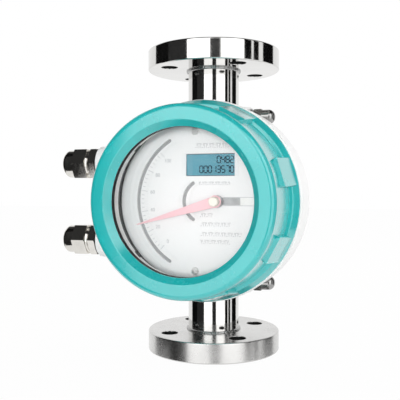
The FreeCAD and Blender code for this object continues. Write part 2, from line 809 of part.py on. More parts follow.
def window_glass():
    """Round window with ground edges."""
    return on_dial(lathe([
        (0, GLASS_BACK), (GLASS_R - GLASS_EDGE, GLASS_BACK), (GLASS_R, GLASS_BACK + GLASS_EDGE),
        (GLASS_R, GLASS_FRONT - GLASS_EDGE), (GLASS_R - GLASS_EDGE, GLASS_FRONT), (0, GLASS_FRONT),
    ]))


def glass_ring():
    """Ring that holds the glass from behind, with notches for a spanner."""
    back = GLASS_BACK - HOLD_RING_H
    ring = sleeve(HOLD_RING_R, HOLD_RING_BORE_R, back, GLASS_BACK)
    notch = block(0, HOLD_RING_R, -HOLD_NOTCH_W / 2, HOLD_NOTCH_W / 2, back, back + HOLD_NOTCH_H)
    for step in range(HOLD_NOTCHES):
        ring = ring.cut(turned(notch, step * FULL_TURN / HOLD_NOTCHES + FIRST_NOTCH_DEG))
    return on_dial(ring)


# Dial and display

def curved_slot(radius, half_deg):
    """Slot with round ends that bends round the left of the dial."""
    outer = radius + CURVED_SLOT_W / 2
    inner = radius - CURVED_SLOT_W / 2
    band = sleeve(outer, inner, DIAL_BACK, DIAL_FACE)
    wedge = Part.makeCylinder(2 * outer, DIAL_T, Vector(0, 0, DIAL_BACK), Z_AXIS, 2 * half_deg)
    slot = band.common(turned(wedge, FULL_TURN / 2 - half_deg))
    for side in (half_deg, -half_deg):
        end = rod(CURVED_SLOT_W / 2, DIAL_BACK, DIAL_FACE, -radius, 0)
        slot = slot.fuse(turned(end, side))
    return moved(slot, CURVED_SLOT_X)


def dial_plate():
    """White plate with the slots and the display's window."""
    plate = rod(DIAL_R, DIAL_BACK, DIAL_FACE)
    half_w = RADIAL_SLOT_W / 2
    radial = block(PIVOT_X, RADIAL_SLOT_END_X, -half_w, half_w, DIAL_BACK, DIAL_FACE)
    radial = radial.fuse(rod(half_w, DIAL_BACK, DIAL_FACE, PIVOT_X))
    left = DISPLAY_X - DISPLAY_W / 2
    foot = DISPLAY_Y - DISPLAY_H / 2
    window = block(left, left + DISPLAY_W, foot, foot + DISPLAY_H, DIAL_BACK, DIAL_FACE)
    cuts = [radial, window]
    cuts.append(curved_slot(SCALE_SLOT_R, SCALE_SLOT_HALF_DEG))
    cuts.append(curved_slot(INNER_SLOT_R, INNER_SLOT_HALF_DEG))
    for y in (DIAL_SCREW_Y, -DIAL_SCREW_Y):
        cuts.append(rod(SCREW_R + SCREW_FIT, DIAL_BACK, DIAL_FACE, 0, y))
    for cut in cuts:
        plate = plate.cut(cut)
    return on_dial(plate)


def dial_posts():
    """Hexagon posts that carry the dial over the tube's tunnel."""
    stud = rod(POST_STUD_R, TUNNEL_TOP - POST_STUD_L, TUNNEL_TOP)
    post = hexagon(POST_AF, TUNNEL_TOP, DIAL_BACK).fuse(stud)
    post = post.cut(rod(SCREW_R + SCREW_FIT, DIAL_BACK - SCREW_L, DIAL_BACK))
    return on_dial(Part.makeCompound([moved(post, y=y) for y in (DIAL_SCREW_Y, -DIAL_SCREW_Y)]))


def slotted_screw(radius, head_r, head_h, seat, length):
    """Screw with a slotted pan head, its head standing on the seat."""
    top = seat + head_h
    head = lathe([(0, seat), (head_r, seat), (head_r, top, head_h / 2), (0, top)])
    slot = block(-head_r, head_r, -SCREW_SLOT_W / 2, SCREW_SLOT_W / 2, top - SCREW_SLOT_H, top)
    return head.cut(slot).fuse(rod(radius, seat - length, seat))


def dial_screws():
    """Two screws on the dial's upright centre line."""
    screw = slotted_screw(SCREW_R, SCREW_HEAD_R, SCREW_HEAD_H, DIAL_FACE, SCREW_L)
    return on_dial(Part.makeCompound([moved(screw, y=y) for y in (DIAL_SCREW_Y, -DIAL_SCREW_Y)]))


def board_places():
    """Centres of the board's four spacers."""
    return [(BOARD_X + x, BOARD_Y + y) for x in (-SPACER_X, SPACER_X) for y in (-SPACER_Y, SPACER_Y)]


def circuit_board():
    """Board behind the dial's upper half."""
    board = moved(slab(rectangle(BOARD_W, BOARD_H, BOARD_ROUND), BOARD_BACK, BOARD_FRONT), BOARD_X, BOARD_Y)
    for x, y in board_places():
        board = board.cut(rod(BOARD_SCREW_R + SCREW_FIT, BOARD_BACK, BOARD_FRONT, x, y))
    return on_dial(board)


def board_spacers():
    """Spacers that hang the board on the back of the dial."""
    hole = BOARD_SCREW_R + SCREW_FIT
    spacer = sleeve(SPACER_R, hole, BOARD_FRONT, DIAL_BACK)
    return on_dial(Part.makeCompound([moved(spacer, x, y) for x, y in board_places()]))


def board_screws():
    """Screws from behind the board into the spacers."""
    foot = BOARD_BACK - BOARD_SCREW_HEAD_H
    head = rod(BOARD_SCREW_HEAD_R, foot, BOARD_BACK)
    screw = head.fuse(rod(BOARD_SCREW_R, BOARD_BACK, BOARD_BACK + BOARD_SCREW_L))
    return on_dial(Part.makeCompound([moved(screw, x, y) for x, y in board_places()]))


def display_module():
    """Display on the board, with a sunk face behind the dial's window."""
    front = DIAL_BACK - MODULE_GAP
    module = slab(rectangle(MODULE_W, MODULE_H, MODULE_ROUND), BOARD_FRONT, front)
    half_w = DISPLAY_W / 2 + MODULE_STEP
    half_h = DISPLAY_H / 2 + MODULE_STEP
    module = module.cut(block(-half_w, half_w, -half_h, half_h, front - MODULE_STEP, front))
    return on_dial(moved(module, DISPLAY_X, DISPLAY_Y))


# Movement

def at_pivot(solid):
    """Movement piece drawn about Z, set on the pointer's axis."""
    return on_dial(moved(solid, PIVOT_X))


def movement_frame():
    """C-shaped frame, open on the left where the magnet arm swings."""
    inner = FRAME_RIGHT_X - FRAME_WALL
    front_wall = FRAME_FRONT - FRAME_WALL
    frame = across_dial(slab([
        (FRAME_LEFT_X, TUNNEL_TOP), (FRAME_RIGHT_X, TUNNEL_TOP), (FRAME_RIGHT_X, FRAME_FRONT, FRAME_WALL),
        (FRAME_FRONT_X, FRAME_FRONT), (FRAME_FRONT_X, front_wall), (inner, front_wall),
        (inner, FRAME_FLOOR), (FRAME_LEFT_X, FRAME_FLOOR),
    ], -FRAME_HALF_Y, FRAME_HALF_Y))
    frame = frame.cut(rod(BEARING_R + SHAFT_GRIP, TUNNEL_TOP, FRAME_FRONT, PIVOT_X))
    for x in FRAME_SCREW_X:
        for y in (FRAME_SCREW_Y, -FRAME_SCREW_Y):
            frame = frame.cut(rod(SCREW_R + SCREW_FIT, TUNNEL_TOP, FRAME_FLOOR, x, y))
    return on_dial(frame)


def frame_screws():
    """Screws that hold the movement down."""
    screw = slotted_screw(SCREW_R, FRAME_SCREW_HEAD_R, SCREW_HEAD_H, FRAME_FLOOR, FRAME_SCREW_L)
    places = [(x, y) for x in FRAME_SCREW_X for y in (FRAME_SCREW_Y, -FRAME_SCREW_Y)]
    return on_dial(Part.makeCompound([moved(screw, x, y) for x, y in places]))


def bearing(wall_back):
    """Flanged bush pressed into one wall of the frame from the front."""
    wall_front = wall_back + FRAME_WALL
    flange_front = wall_front + BEARING_FLANGE_T
    bore = SHAFT_R + SHAFT_FIT
    return at_pivot(lathe([
        (bore, wall_back), (BEARING_R, wall_back), (BEARING_R, wall_front), (BEARING_FLANGE_R, wall_front),
        (BEARING_FLANGE_R, flange_front), (bore, flange_front),
    ]))


def magnet_arm():
    """Arm on the shaft, with an eye for the follower magnet and a tail that balances it."""
    front = ARM_REAR + ARM_T
    arm = block(-ARM_REACH, ARM_TAIL, -ARM_W / 2, ARM_W / 2, ARM_REAR, front)
    for radius, x in ((ARM_END_R, -ARM_REACH), (ARM_HUB_R, 0), (ARM_TAIL_R, ARM_TAIL)):
        arm = arm.fuse(rod(radius, ARM_REAR, front, x))
    arm = arm.cut(rod(FOLLOWER_R + SHAFT_GRIP, ARM_REAR, front, -ARM_REACH))
    arm = arm.cut(rod(SHAFT_HOLE_R, ARM_REAR, front)).removeSplitter()
    return at_pivot(turned(arm, POINTER_DEG))


def follower_magnet():
    """Magnet that follows the float's magnet through the tube's wall."""
    magnet = rod(FOLLOWER_R, FOLLOWER_REAR, FOLLOWER_REAR + FOLLOWER_H, -ARM_REACH)
    return at_pivot(turned(magnet, POINTER_DEG))


def damping_disc():
    """Thin disc on the shaft that runs between the poles of the damper."""
    collar = rod(DISC_COLLAR_R, DISC_COLLAR_REAR, DISC_COLLAR_FRONT)
    disc = rod(DISC_R, DISC_REAR, DISC_REAR + DISC_T).fuse(collar)
    return at_pivot(disc.cut(rod(SHAFT_HOLE_R, DISC_COLLAR_REAR, DISC_COLLAR_FRONT)).removeSplitter())


def damper_magnet():
    """Slotted magnet on the frame's side wall."""
    right = FRAME_RIGHT_X - FRAME_WALL
    magnet = block(DAMPER_LEFT_X, right, -DAMPER_HALF_Y, DAMPER_HALF_Y, DAMPER_REAR, DAMPER_FRONT)
    low = DISC_REAR - DAMPER_SLOT_SIDE
    high = DISC_REAR + DISC_T + DAMPER_SLOT_SIDE
    slot = block(DAMPER_LEFT_X, DAMPER_SLOT_X, -DAMPER_HALF_Y, DAMPER_HALF_Y, low, high)
    return on_dial(magnet.cut(slot))


# Pointer

def pointer_hub():
    """Turned hub on the shaft, in front of the dial."""
    return at_pivot(lathe([
        (SHAFT_HOLE_R, HUB_BASE_REAR), (HUB_BASE_R, HUB_BASE_REAR), (HUB_BASE_R, HUB_BASE_END),
        (HUB_WAIST_R, HUB_BASE_END), (HUB_WAIST_R, HUB_TOP_REAR), (HUB_TOP_R, HUB_TOP_REAR),
        (HUB_TOP_R, POINTER_REAR), (SHAFT_HOLE_R, POINTER_REAR),
    ]))


def pointer():
    """Tapered pointer with a round eye on the hub."""
    front = POINTER_REAR + POINTER_T
    half_tip = POINTER_TIP_W / 2
    half_root = POINTER_ROOT_W / 2
    blade = slab([
        (-POINTER_L, -half_tip), (POINTER_ROOT_X, -half_root),
        (POINTER_ROOT_X, half_root), (-POINTER_L, half_tip),
    ], POINTER_REAR, front)
    blade = blade.fuse(rod(HUB_BASE_R, POINTER_REAR, front)).cut(rod(SHAFT_HOLE_R, POINTER_REAR, front))
    return at_pivot(turned(blade.removeSplitter(), POINTER_DEG))


def pointer_cap():
    """Cap that holds the pointer on the shaft."""
    foot = POINTER_REAR + POINTER_T
    pocket = SHAFT_FRONT + SCREW_FIT
    return at_pivot(lathe([
        (SHAFT_HOLE_R, foot), (CAP_R, foot), (CAP_R, CAP_FRONT, CAP_ROUND), (0, CAP_FRONT),
        (0, pocket), (SHAFT_HOLE_R, pocket),
    ]))


# Terminal block

def terminal_block():
    """Stepped block with a wire entry and a screw pocket for each cable core."""
    left = TERMINAL_X - TERMINAL_W / 2
    right = TERMINAL_X + TERMINAL_W / 2
    top = CAVITY_FLOOR + TERMINAL_H
    ledge = top - TERMINAL_STEP_H
    step = left + TERMINAL_STEP_W
    profile = slab([
        (left, CAVITY_FLOOR), (right, CAVITY_FLOOR), (right, top),
        (step, top), (step, ledge), (left, ledge),
    ], -TERMINAL_L / 2, TERMINAL_L / 2)
    solid = across_dial(profile)
    half = TERMINAL_POCKET_W / 2
    for way in range(TERMINAL_WAYS):
        y = (way - (TERMINAL_WAYS - 1) / 2) * TERMINAL_PITCH
        middle = (CAVITY_FLOOR + ledge) / 2
        entry = block(left, left + TERMINAL_POCKET_DEPTH, y - half, y + half, middle - half, middle + half)
        pocket = rod(half, top - TERMINAL_POCKET_DEPTH, top, (step + right) / 2, y)
        solid = solid.cut(entry).cut(pocket)
    return on_dial(solid)


def all_nodes():
    """Every piece of the flow meter by its node's name."""
    nodes = {
        "measuring_tube": measuring_tube(),
        "lower_flange": flange(),
        "upper_flange": upper_flange(),
        "lower_guide": guide(INLET_R, LOWER_STOP_Z - GUIDE_H),
        "upper_guide": guide(OUTLET_R, UPPER_STOP_Z),
        "lower_retaining_ring": retaining_ring(LOWER_STOP_Z - GUIDE_H - RING_T),
        "upper_retaining_ring": retaining_ring(UPPER_STOP_Z + GUIDE_H),
        "float_body": float_body(),
        "float_cap": float_cap(),
        "float_magnet": float_magnet(),
        "float_stem": float_stem(),
        "stem_nuts": stem_nuts(),
        "housing": housing(),
        "clamp_bolts": clamp_bolts(),
        "clamp_washers": clamp_washers(),
        "spring_washers": spring_washers(),
        "cap_nuts": cap_nuts(),
        "front_cover": front_cover(),
        "cover_seal": cover_seal(),
        "window_gasket": window_gasket(),
        "window_glass": window_glass(),
        "glass_ring": glass_ring(),
        "dial_plate": dial_plate(),
        "dial_posts": dial_posts(),
        "dial_screws": dial_screws(),
        "circuit_board": circuit_board(),
        "board_spacers": board_spacers(),
        "board_screws": board_screws(),
        "display_module": display_module(),
        "movement_frame": movement_frame(),
        "frame_screws": frame_screws(),
        "rear_bearing": bearing(TUNNEL_TOP),
        "front_bearing": bearing(FRAME_FRONT - FRAME_WALL),
        "pointer_shaft": at_pivot(rod(SHAFT_R, SHAFT_REAR, SHAFT_FRONT)),
        "magnet_arm": magnet_arm(),
        "follower_magnet": follower_magnet(),
        "damping_disc": damping_disc(),
        "damper_magnet": damper_magnet(),
        "pointer_hub": pointer_hub(),
        "pointer": pointer(),
        "pointer_cap": pointer_cap(),
        "terminal_block": terminal_block(),
    }
    for place, y in zip(("upper", "lower"), GLAND_Y):
        nodes[place + "_gland_washer"] = gland_washer(y)
        nodes[place + "_gland_body"] = gland_body(y)
        nodes[place + "_gland_seal"] = gland_seal(y)
        nodes[place + "_gland_nut"] = gland_nut(y)
    return nodes


os.makedirs("parts", exist_ok=True)
for name, shape in all_nodes().items():
    shape.exportStep(os.path.join("parts", name + ".step"))
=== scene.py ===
import json
import math

import bpy
from bpy.props import FloatProperty, FloatVectorProperty, IntProperty, PointerProperty, StringProperty
from mathutils import Matrix, Vector


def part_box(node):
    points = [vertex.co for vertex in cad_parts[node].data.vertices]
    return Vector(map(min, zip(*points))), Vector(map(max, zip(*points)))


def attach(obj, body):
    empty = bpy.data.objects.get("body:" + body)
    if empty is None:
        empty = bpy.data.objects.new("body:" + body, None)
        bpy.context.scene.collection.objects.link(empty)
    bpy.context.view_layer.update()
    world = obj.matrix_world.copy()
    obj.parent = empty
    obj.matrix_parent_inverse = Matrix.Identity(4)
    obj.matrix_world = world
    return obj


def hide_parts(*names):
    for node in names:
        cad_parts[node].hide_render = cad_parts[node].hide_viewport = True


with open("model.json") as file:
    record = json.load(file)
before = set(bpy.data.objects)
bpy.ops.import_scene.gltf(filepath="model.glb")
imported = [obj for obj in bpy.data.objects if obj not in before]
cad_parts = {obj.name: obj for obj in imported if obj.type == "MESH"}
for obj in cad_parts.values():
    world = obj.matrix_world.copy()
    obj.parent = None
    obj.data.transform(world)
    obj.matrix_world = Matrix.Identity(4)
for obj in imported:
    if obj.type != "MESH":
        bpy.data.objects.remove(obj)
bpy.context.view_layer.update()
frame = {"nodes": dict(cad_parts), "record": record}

bl_info = {
    "name": "Metal tube flow meter",
    "version": (1, 0, 0),
    "blender": (4, 5, 0),
    "location": "3D View > Sidebar > Flow meter",
    "description": "Models the pieces of a metal tube flow meter and gives each its finish",
    "category": "Add Mesh",
}

# Sizes are in millimetres, and become metres in the mesh
MM = 0.001
MERGE = 1e-6
ARC_STEP = math.radians(10)

# Flow tube and flanges, in the upright frame
FACE_TO_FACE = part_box("measuring_tube")[1].z / MM
MID_Z = FACE_TO_FACE / 2
TUBE_R = 22.25
FLANGE_R = 57.5
FLANGE_TOP = 19.0
RAISED_FACE_R = 34.0
RAISED_FACE_H = 2.0
BOLT_CIRCLE_R = 42.5
BOLT_HOLE_R = 7.0
WELD_LEG = 1.5

# Dial frame: x right, y up and z out of the dial, from the tube's axis at mid height
DIAL = Matrix.Translation((0, 0, MID_Z * MM)) @ Matrix.Rotation(math.pi / 2, 4, "X")
HOUSING_R = 84.5
HOUSING_BACK = -14.0
HOUSING_FRONT = 36.0
NECK_R = 70.7
NECK_BORE_R = 67.5
NECK_FRONT = 59.0
TUNNEL_HALF = 27.0
TUNNEL_TOP = 27.0
CHANNEL_R = 22.3
CLAMP_Y = 75.0
CLAMP_Z = -26.3
EAR_OUTER_X = 27.5
BOLT_R = 4.0
GLAND_Y = {"upper": 33.0, "lower": -36.0}
GLAND_Z = 18.0
SPOUT_FACE_X = -100.3
SPOUT_ROOT_X = -60.0
SPOUT_R = 15.5
COVER_FRONT = 91.5
PIVOT_X = 19.0
SCALE_X = 8.0
DIAL_BACK = 48.5
DIAL_FACE = 50.0
DIAL_SCREW_Y = 56.5
DISPLAY_PLACE = (12.5, 29.5)
DISPLAY_SIZE = (41.0, 18.0)
DISPLAY_FACE = 47.3
POINTER_DEG = 16.0


# Shaping

def shift(x=0.0, y=0.0, z=0.0):
    """Matrix that moves by millimetres."""
    return Matrix.Translation(Vector((x, y, z)) * MM)


def swing(degrees, axis="Z"):
    """Matrix that turns about an axis through the origin."""
    return Matrix.Rotation(math.radians(degrees), 4, axis)


def take(*pieces):
    """Selects these pieces and nothing else, the last one active."""
    if bpy.context.mode != "OBJECT":
        bpy.ops.object.mode_set(mode="OBJECT")
    bpy.ops.object.select_all(action="DESELECT")
    for piece in pieces:
        piece.select_set(True)
        bpy.context.view_layer.objects.active = piece


def rounded(corners):
    """Points of an outline; a corner is (a, b), or (a, b, radius) where it is rounded."""
    points = []
    for index, corner in enumerate(corners):
        here = Vector(corner[:2])
        if len(corner) == 2:
            points.append(here)
            continue
        back = (Vector(corners[index - 1][:2]) - here).normalized()
        ahead = (Vector(corners[(index + 1) % len(corners)][:2]) - here).normalized()
        half = back.angle(ahead) / 2
        centre = here + (back + ahead).normalized() * (corner[2] / math.sin(half))
        start = here + back * (corner[2] / math.tan(half)) - centre
        end = here + ahead * (corner[2] / math.tan(half)) - centre
        sweep = math.atan2(start.x * end.y - start.y * end.x, start.dot(end))
        steps = max(2, math.ceil(abs(sweep) / ARC_STEP))
        for step in range(steps + 1):
            points.append(centre + Matrix.Rotation(sweep * step / steps, 2) @ start)
    return points


def start_point(name):
    """New piece in edit mode: one point at the origin, ready to be moved and extruded."""
    take()
    bpy.ops.mesh.primitive_plane_add(size=MM)
    piece = bpy.context.object
    piece.name = name
    piece.data.name = name
    bpy.context.tool_settings.mesh_select_mode = (True, False, False)
    bpy.ops.object.mode_set(mode="EDIT")
    bpy.ops.mesh.merge(type="CENTER")
    return piece


def draw(name, points, closed, upright):
    """New piece in edit mode: a line through the points, upright in XZ or flat in XY."""
    piece = start_point(name)
    here = Vector((0.0, 0.0))
    for index, point in enumerate(points + points[:1] if closed else points):
        step = (point - here) * MM
        move = (step.x, 0, step.y) if upright else (step.x, step.y, 0)
        if index == 0:
            bpy.ops.transform.translate(value=move)
        else:
            bpy.ops.mesh.extrude_region_move(TRANSFORM_OT_translate={"value": move})
        here = point
    bpy.ops.mesh.select_all(action="SELECT")
    bpy.ops.mesh.remove_doubles(threshold=MERGE)
    return piece


def close_up():
    """Merges the seam of the piece in edit mode and turns its faces outwards."""
    bpy.ops.mesh.select_all(action="SELECT")
    bpy.ops.mesh.remove_doubles(threshold=MERGE)
    bpy.ops.mesh.normals_make_consistent(inside=False)
    bpy.ops.object.mode_set(mode="OBJECT")


def turn(name, corners, steps=128):
    """Piece turned about Z from (radius, height) corners; open where it starts and ends on the axis."""
    solid = corners[0][0] == 0 and corners[-1][0] == 0
    piece = draw(name, rounded(corners), not solid, True)
    bpy.ops.mesh.spin(steps=steps, angle=math.tau, center=(0, 0, 0), axis=(0, 0, 1))
    close_up()
    return piece


def slab(name, corners, low, high):
    """Piece with a flat outline, from one height to another."""
    piece = draw(name, rounded(corners), True, False)
    bpy.ops.mesh.edge_face_add()
    bpy.ops.transform.translate(value=(0, 0, low * MM))
    bpy.ops.mesh.extrude_region_move(TRANSFORM_OT_translate={"value": (0, 0, (high - low) * MM)})
    close_up()
    return piece


def rectangle(width, height, radius, x=0.0, y=0.0):
    """Corners of a rectangle with rounded corners."""
    across, up = width / 2, height / 2
    return [(x - across, y - up, radius), (x + across, y - up, radius),
            (x + across, y + up, radius), (x - across, y + up, radius)]


def place(piece, matrix):
    """Moves a piece and writes its place into the mesh."""
    take(piece)
    piece.matrix_world = matrix
    bpy.ops.object.transform_apply(location=True, rotation=True, scale=True)
    return piece


def copies(piece, places):
    """A copy of the piece at each place, each with its own mesh; the pattern itself goes."""
    made = []
    for matrix in places:
        other = piece.copy()
        other.data = piece.data.copy()
        bpy.context.collection.objects.link(other)
        made.append(place(other, matrix))
    bpy.data.objects.remove(piece)
    return made


def joined(name, pieces):
    """One piece made of several."""
    take(*pieces)
    bpy.ops.object.join()
    piece = bpy.context.object
    piece.name = name
    piece.data.name = name
    return piece


def apply(piece, kind, **settings):
    """Adds a modifier with its settings and applies it."""
    modifier = piece.modifiers.new(kind.lower(), kind)
    for key, value in settings.items():
        setattr(modifier, key, value)
    take(piece)
    bpy.ops.object.modifier_apply(modifier=modifier.name)
    return piece


def combine(piece, tool, operation):
    """Joins a second solid to a piece, cuts it out, or keeps what they share."""
    apply(piece, "BOOLEAN", object=tool, operation=operation, solver="EXACT")
    bpy.data.objects.remove(tool)
    return piece


def soften(piece, width, segments=2, degrees=40):
    """Breaks the sharp edges of a piece."""
    return apply(piece, "BEVEL", width=width * MM, segments=segments, limit_method="ANGLE",
                 angle_limit=math.radians(degrees), use_clamp_overlap=True)


def pick_edges(piece, test):
    """Opens a piece for editing, with the edges selected whose two ends pass the test."""
    take(piece)
    bpy.context.tool_settings.mesh_select_mode = (False, True, False)
    bpy.ops.object.mode_set(mode="EDIT")
    bpy.ops.mesh.select_all(action="DESELECT")
    bpy.ops.object.mode_set(mode="OBJECT")
    ends = [vertex.co / MM for vertex in piece.data.vertices]
    for edge in piece.data.edges:
        edge.select = test(*[ends[index] for index in edge.vertices])
    bpy.ops.object.mode_set(mode="EDIT")


def break_edges(piece, width, segments, test):
    """Bevels the edges of a piece that pass the test."""
    pick_edges(piece, test)
    bpy.ops.mesh.bevel(offset=width * MM, segments=segments, affect="EDGES")
    bpy.ops.object.mode_set(mode="OBJECT")
    return piece


def hexagon(name, across_flats, low, high, chamfer=0.8):
    """Upright hexagon whose corners are turned down at both ends."""
    reach = across_flats / math.sqrt(3)
    corners = [(reach * math.cos(math.tau * k / 6), reach * math.sin(math.tau * k / 6)) for k in range(6)]
    piece = slab(name, corners, low, high)
    flat, slope = reach - chamfer, chamfer / 2
    cone = turn("cone", [(0, low), (flat, low), (reach + 0.2, low + slope), (reach + 0.2, high - slope),
                         (flat, high), (0, high)], 96)
    return combine(piece, cone, "INTERSECT")


def thread(radius, depth, pitch, low, high):
    """Corners of a fine thread on a turned piece, as (radius, height) ridges."""
    ridges = []
    for step in range(int((high - low) / pitch)):
        foot = low + step * pitch
        ridges += [(radius - depth, foot), (radius, foot + pitch * 0.35), (radius, foot + pitch * 0.5),
                   (radius - depth, foot + pitch * 0.85)]
    return ridges


def finish_piece(piece, body, slot, finish, *nodes):
    """Smooths a piece, gives it its finish and hangs it on its body in place of its solids."""
    take(piece)
    bpy.ops.object.shade_smooth_by_angle(angle=math.radians(35))
    apply(piece, "WEIGHTED_NORMAL", keep_sharp=True)
    piece.data.materials.clear()
    piece.data.materials.append(finish)
    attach(piece, body)
    if nodes:
        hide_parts(*nodes)


# Finishes

def add(tree, kind, inputs=None, **settings):
    """New node with its settings; an input is a value or the output that feeds it."""
    node = tree.nodes.new("ShaderNode" + kind)
    for key, value in settings.items():
        setattr(node, key, value)
    for key, value in (inputs or {}).items():
        if isinstance(value, bpy.types.NodeSocket):
            tree.links.new(value, node.inputs[key])
        else:
            node.inputs[key].default_value = value
    return node


def group_tree(name, inputs, output):
    """Empty node group with number inputs, a vector input for the place, and one output."""
    tree = bpy.data.node_groups.new(name, "ShaderNodeTree")
    tree.interface.new_socket("Place", in_out="INPUT", socket_type="NodeSocketVector")
    for label, value in inputs.items():
        socket = tree.interface.new_socket(label, in_out="INPUT", socket_type="NodeSocketFloat")
        socket.default_value = value
    tree.interface.new_socket(output, in_out="OUTPUT", socket_type="NodeSocketFloat")
    return tree, tree.nodes.new("NodeGroupInput"), tree.nodes.new("NodeGroupOutput")


def mottle_group():
    """Soft patches, as of handling and uneven coats."""
    tree = bpy.data.node_groups.get("mottle")
    if tree:
        return tree
    tree, given, out = group_tree("mottle", {"Scale": 30.0}, "Mask")
    noise = add(tree, "TexNoise", {"Vector": given.outputs["Place"], "Scale": given.outputs["Scale"],
                                   "Detail": 4.0, "Roughness": 0.6})
    spread = add(tree, "MapRange", {"Value": noise.outputs[0], "From Min": 0.3, "From Max": 0.7})
    tree.links.new(spread.outputs[0], out.inputs["Mask"])
    return tree


def skin_group():
    """Fine pebbling, as of a sprayed coat or a moulding."""
    tree = bpy.data.node_groups.get("skin")
    if tree:
        return tree
    tree, given, out = group_tree("skin", {"Scale": 900.0}, "Height")
    noise = add(tree, "TexNoise", {"Vector": given.outputs["Place"], "Scale": given.outputs["Scale"],
                                   "Detail": 2.0, "Roughness": 0.5})
    tree.links.new(noise.outputs[0], out.inputs["Height"])
    return tree


def turning_group():
    """Fine rings that a lathe tool leaves about the Z axis."""
    tree = bpy.data.node_groups.get("turning")
    if tree:
        return tree
    tree, given, out = group_tree("turning", {"Scale": 2500.0}, "Height")
    parts = add(tree, "SeparateXYZ", {"Vector": given.outputs["Place"]})
    flat = add(tree, "CombineXYZ", {"X": parts.outputs["X"], "Y": parts.outputs["Y"]})
    radius = add(tree, "VectorMath", {0: flat.outputs[0]}, operation="LENGTH")
    along = add(tree, "Math", {0: radius.outputs["Value"], 1: parts.outputs["Z"]}, operation="ADD")
    scaled = add(tree, "Math", {0: along.outputs[0], 1: given.outputs["Scale"]}, operation="MULTIPLY")
    noise = add(tree, "TexNoise", {"W": scaled.outputs[0], "Scale": 1.0, "Detail": 3.0},
                noise_dimensions="1D")
    tree.links.new(noise.outputs[0], out.inputs["Height"])
    return tree


def grouped(tree, group, place, scale):
    """Output of a shared effect, placed in a material."""
    node = tree.nodes.new("ShaderNodeGroup")
    node.node_tree = group
    node.inputs["Scale"].default_value = scale
    tree.links.new(place, node.inputs["Place"])
    return node.outputs[0]


def finish(name, colours, rough, metallic=0.0, patch=30.0, skin=900.0, bump=0.05, turned=None, **constants):
    """Material with two mottled colours, uneven gloss and a fine skin or lathe marks."""
    material = bpy.data.materials.get(name)
    if material:
        return material
    material = bpy.data.materials.new(name)
    material.use_nodes = True
    tree = material.node_tree
    shader = tree.nodes["Principled BSDF"]
    shader.inputs["Metallic"].default_value = metallic
    for label, value in constants.items():
        shader.inputs[label.replace("_", " ")].default_value = value
    place = add(tree, "TexCoord").outputs["Object"]
    mask = grouped(tree, mottle_group(), place, patch)
    ramp = add(tree, "ValToRGB", {"Fac": mask})
    for element, colour in zip(ramp.color_ramp.elements, colours):
        element.color = (*colour, 1.0)
    tree.links.new(ramp.outputs["Color"], shader.inputs["Base Color"])
    smudge = grouped(tree, mottle_group(), place, patch * 2.7)
    gloss = add(tree, "MapRange", {"Value": smudge, "To Min": rough[0], "To Max": rough[1]})
    tree.links.new(gloss.outputs[0], shader.inputs["Roughness"])
    if turned is None:
        height = grouped(tree, skin_group(), place, skin)
    else:
        centred = add(tree, "Mapping", {"Vector": place}, vector_type="TEXTURE")
        centred.inputs["Location"].default_value = turned.to_translation()
        centred.inputs["Rotation"].default_value = turned.to_euler()
        height = grouped(tree, turning_group(), centred.outputs[0], skin)
    relief = add(tree, "Bump", {"Height": height, "Strength": bump, "Distance": 0.0003})
    tree.links.new(relief.outputs["Normal"], shader.inputs["Normal"])
    return material


def shade_of(colour, amount):
    """A colour and a darker or lighter one beside it."""
    first = tuple(colour)
    return first, tuple(min(1.0, part * amount) for part in first)


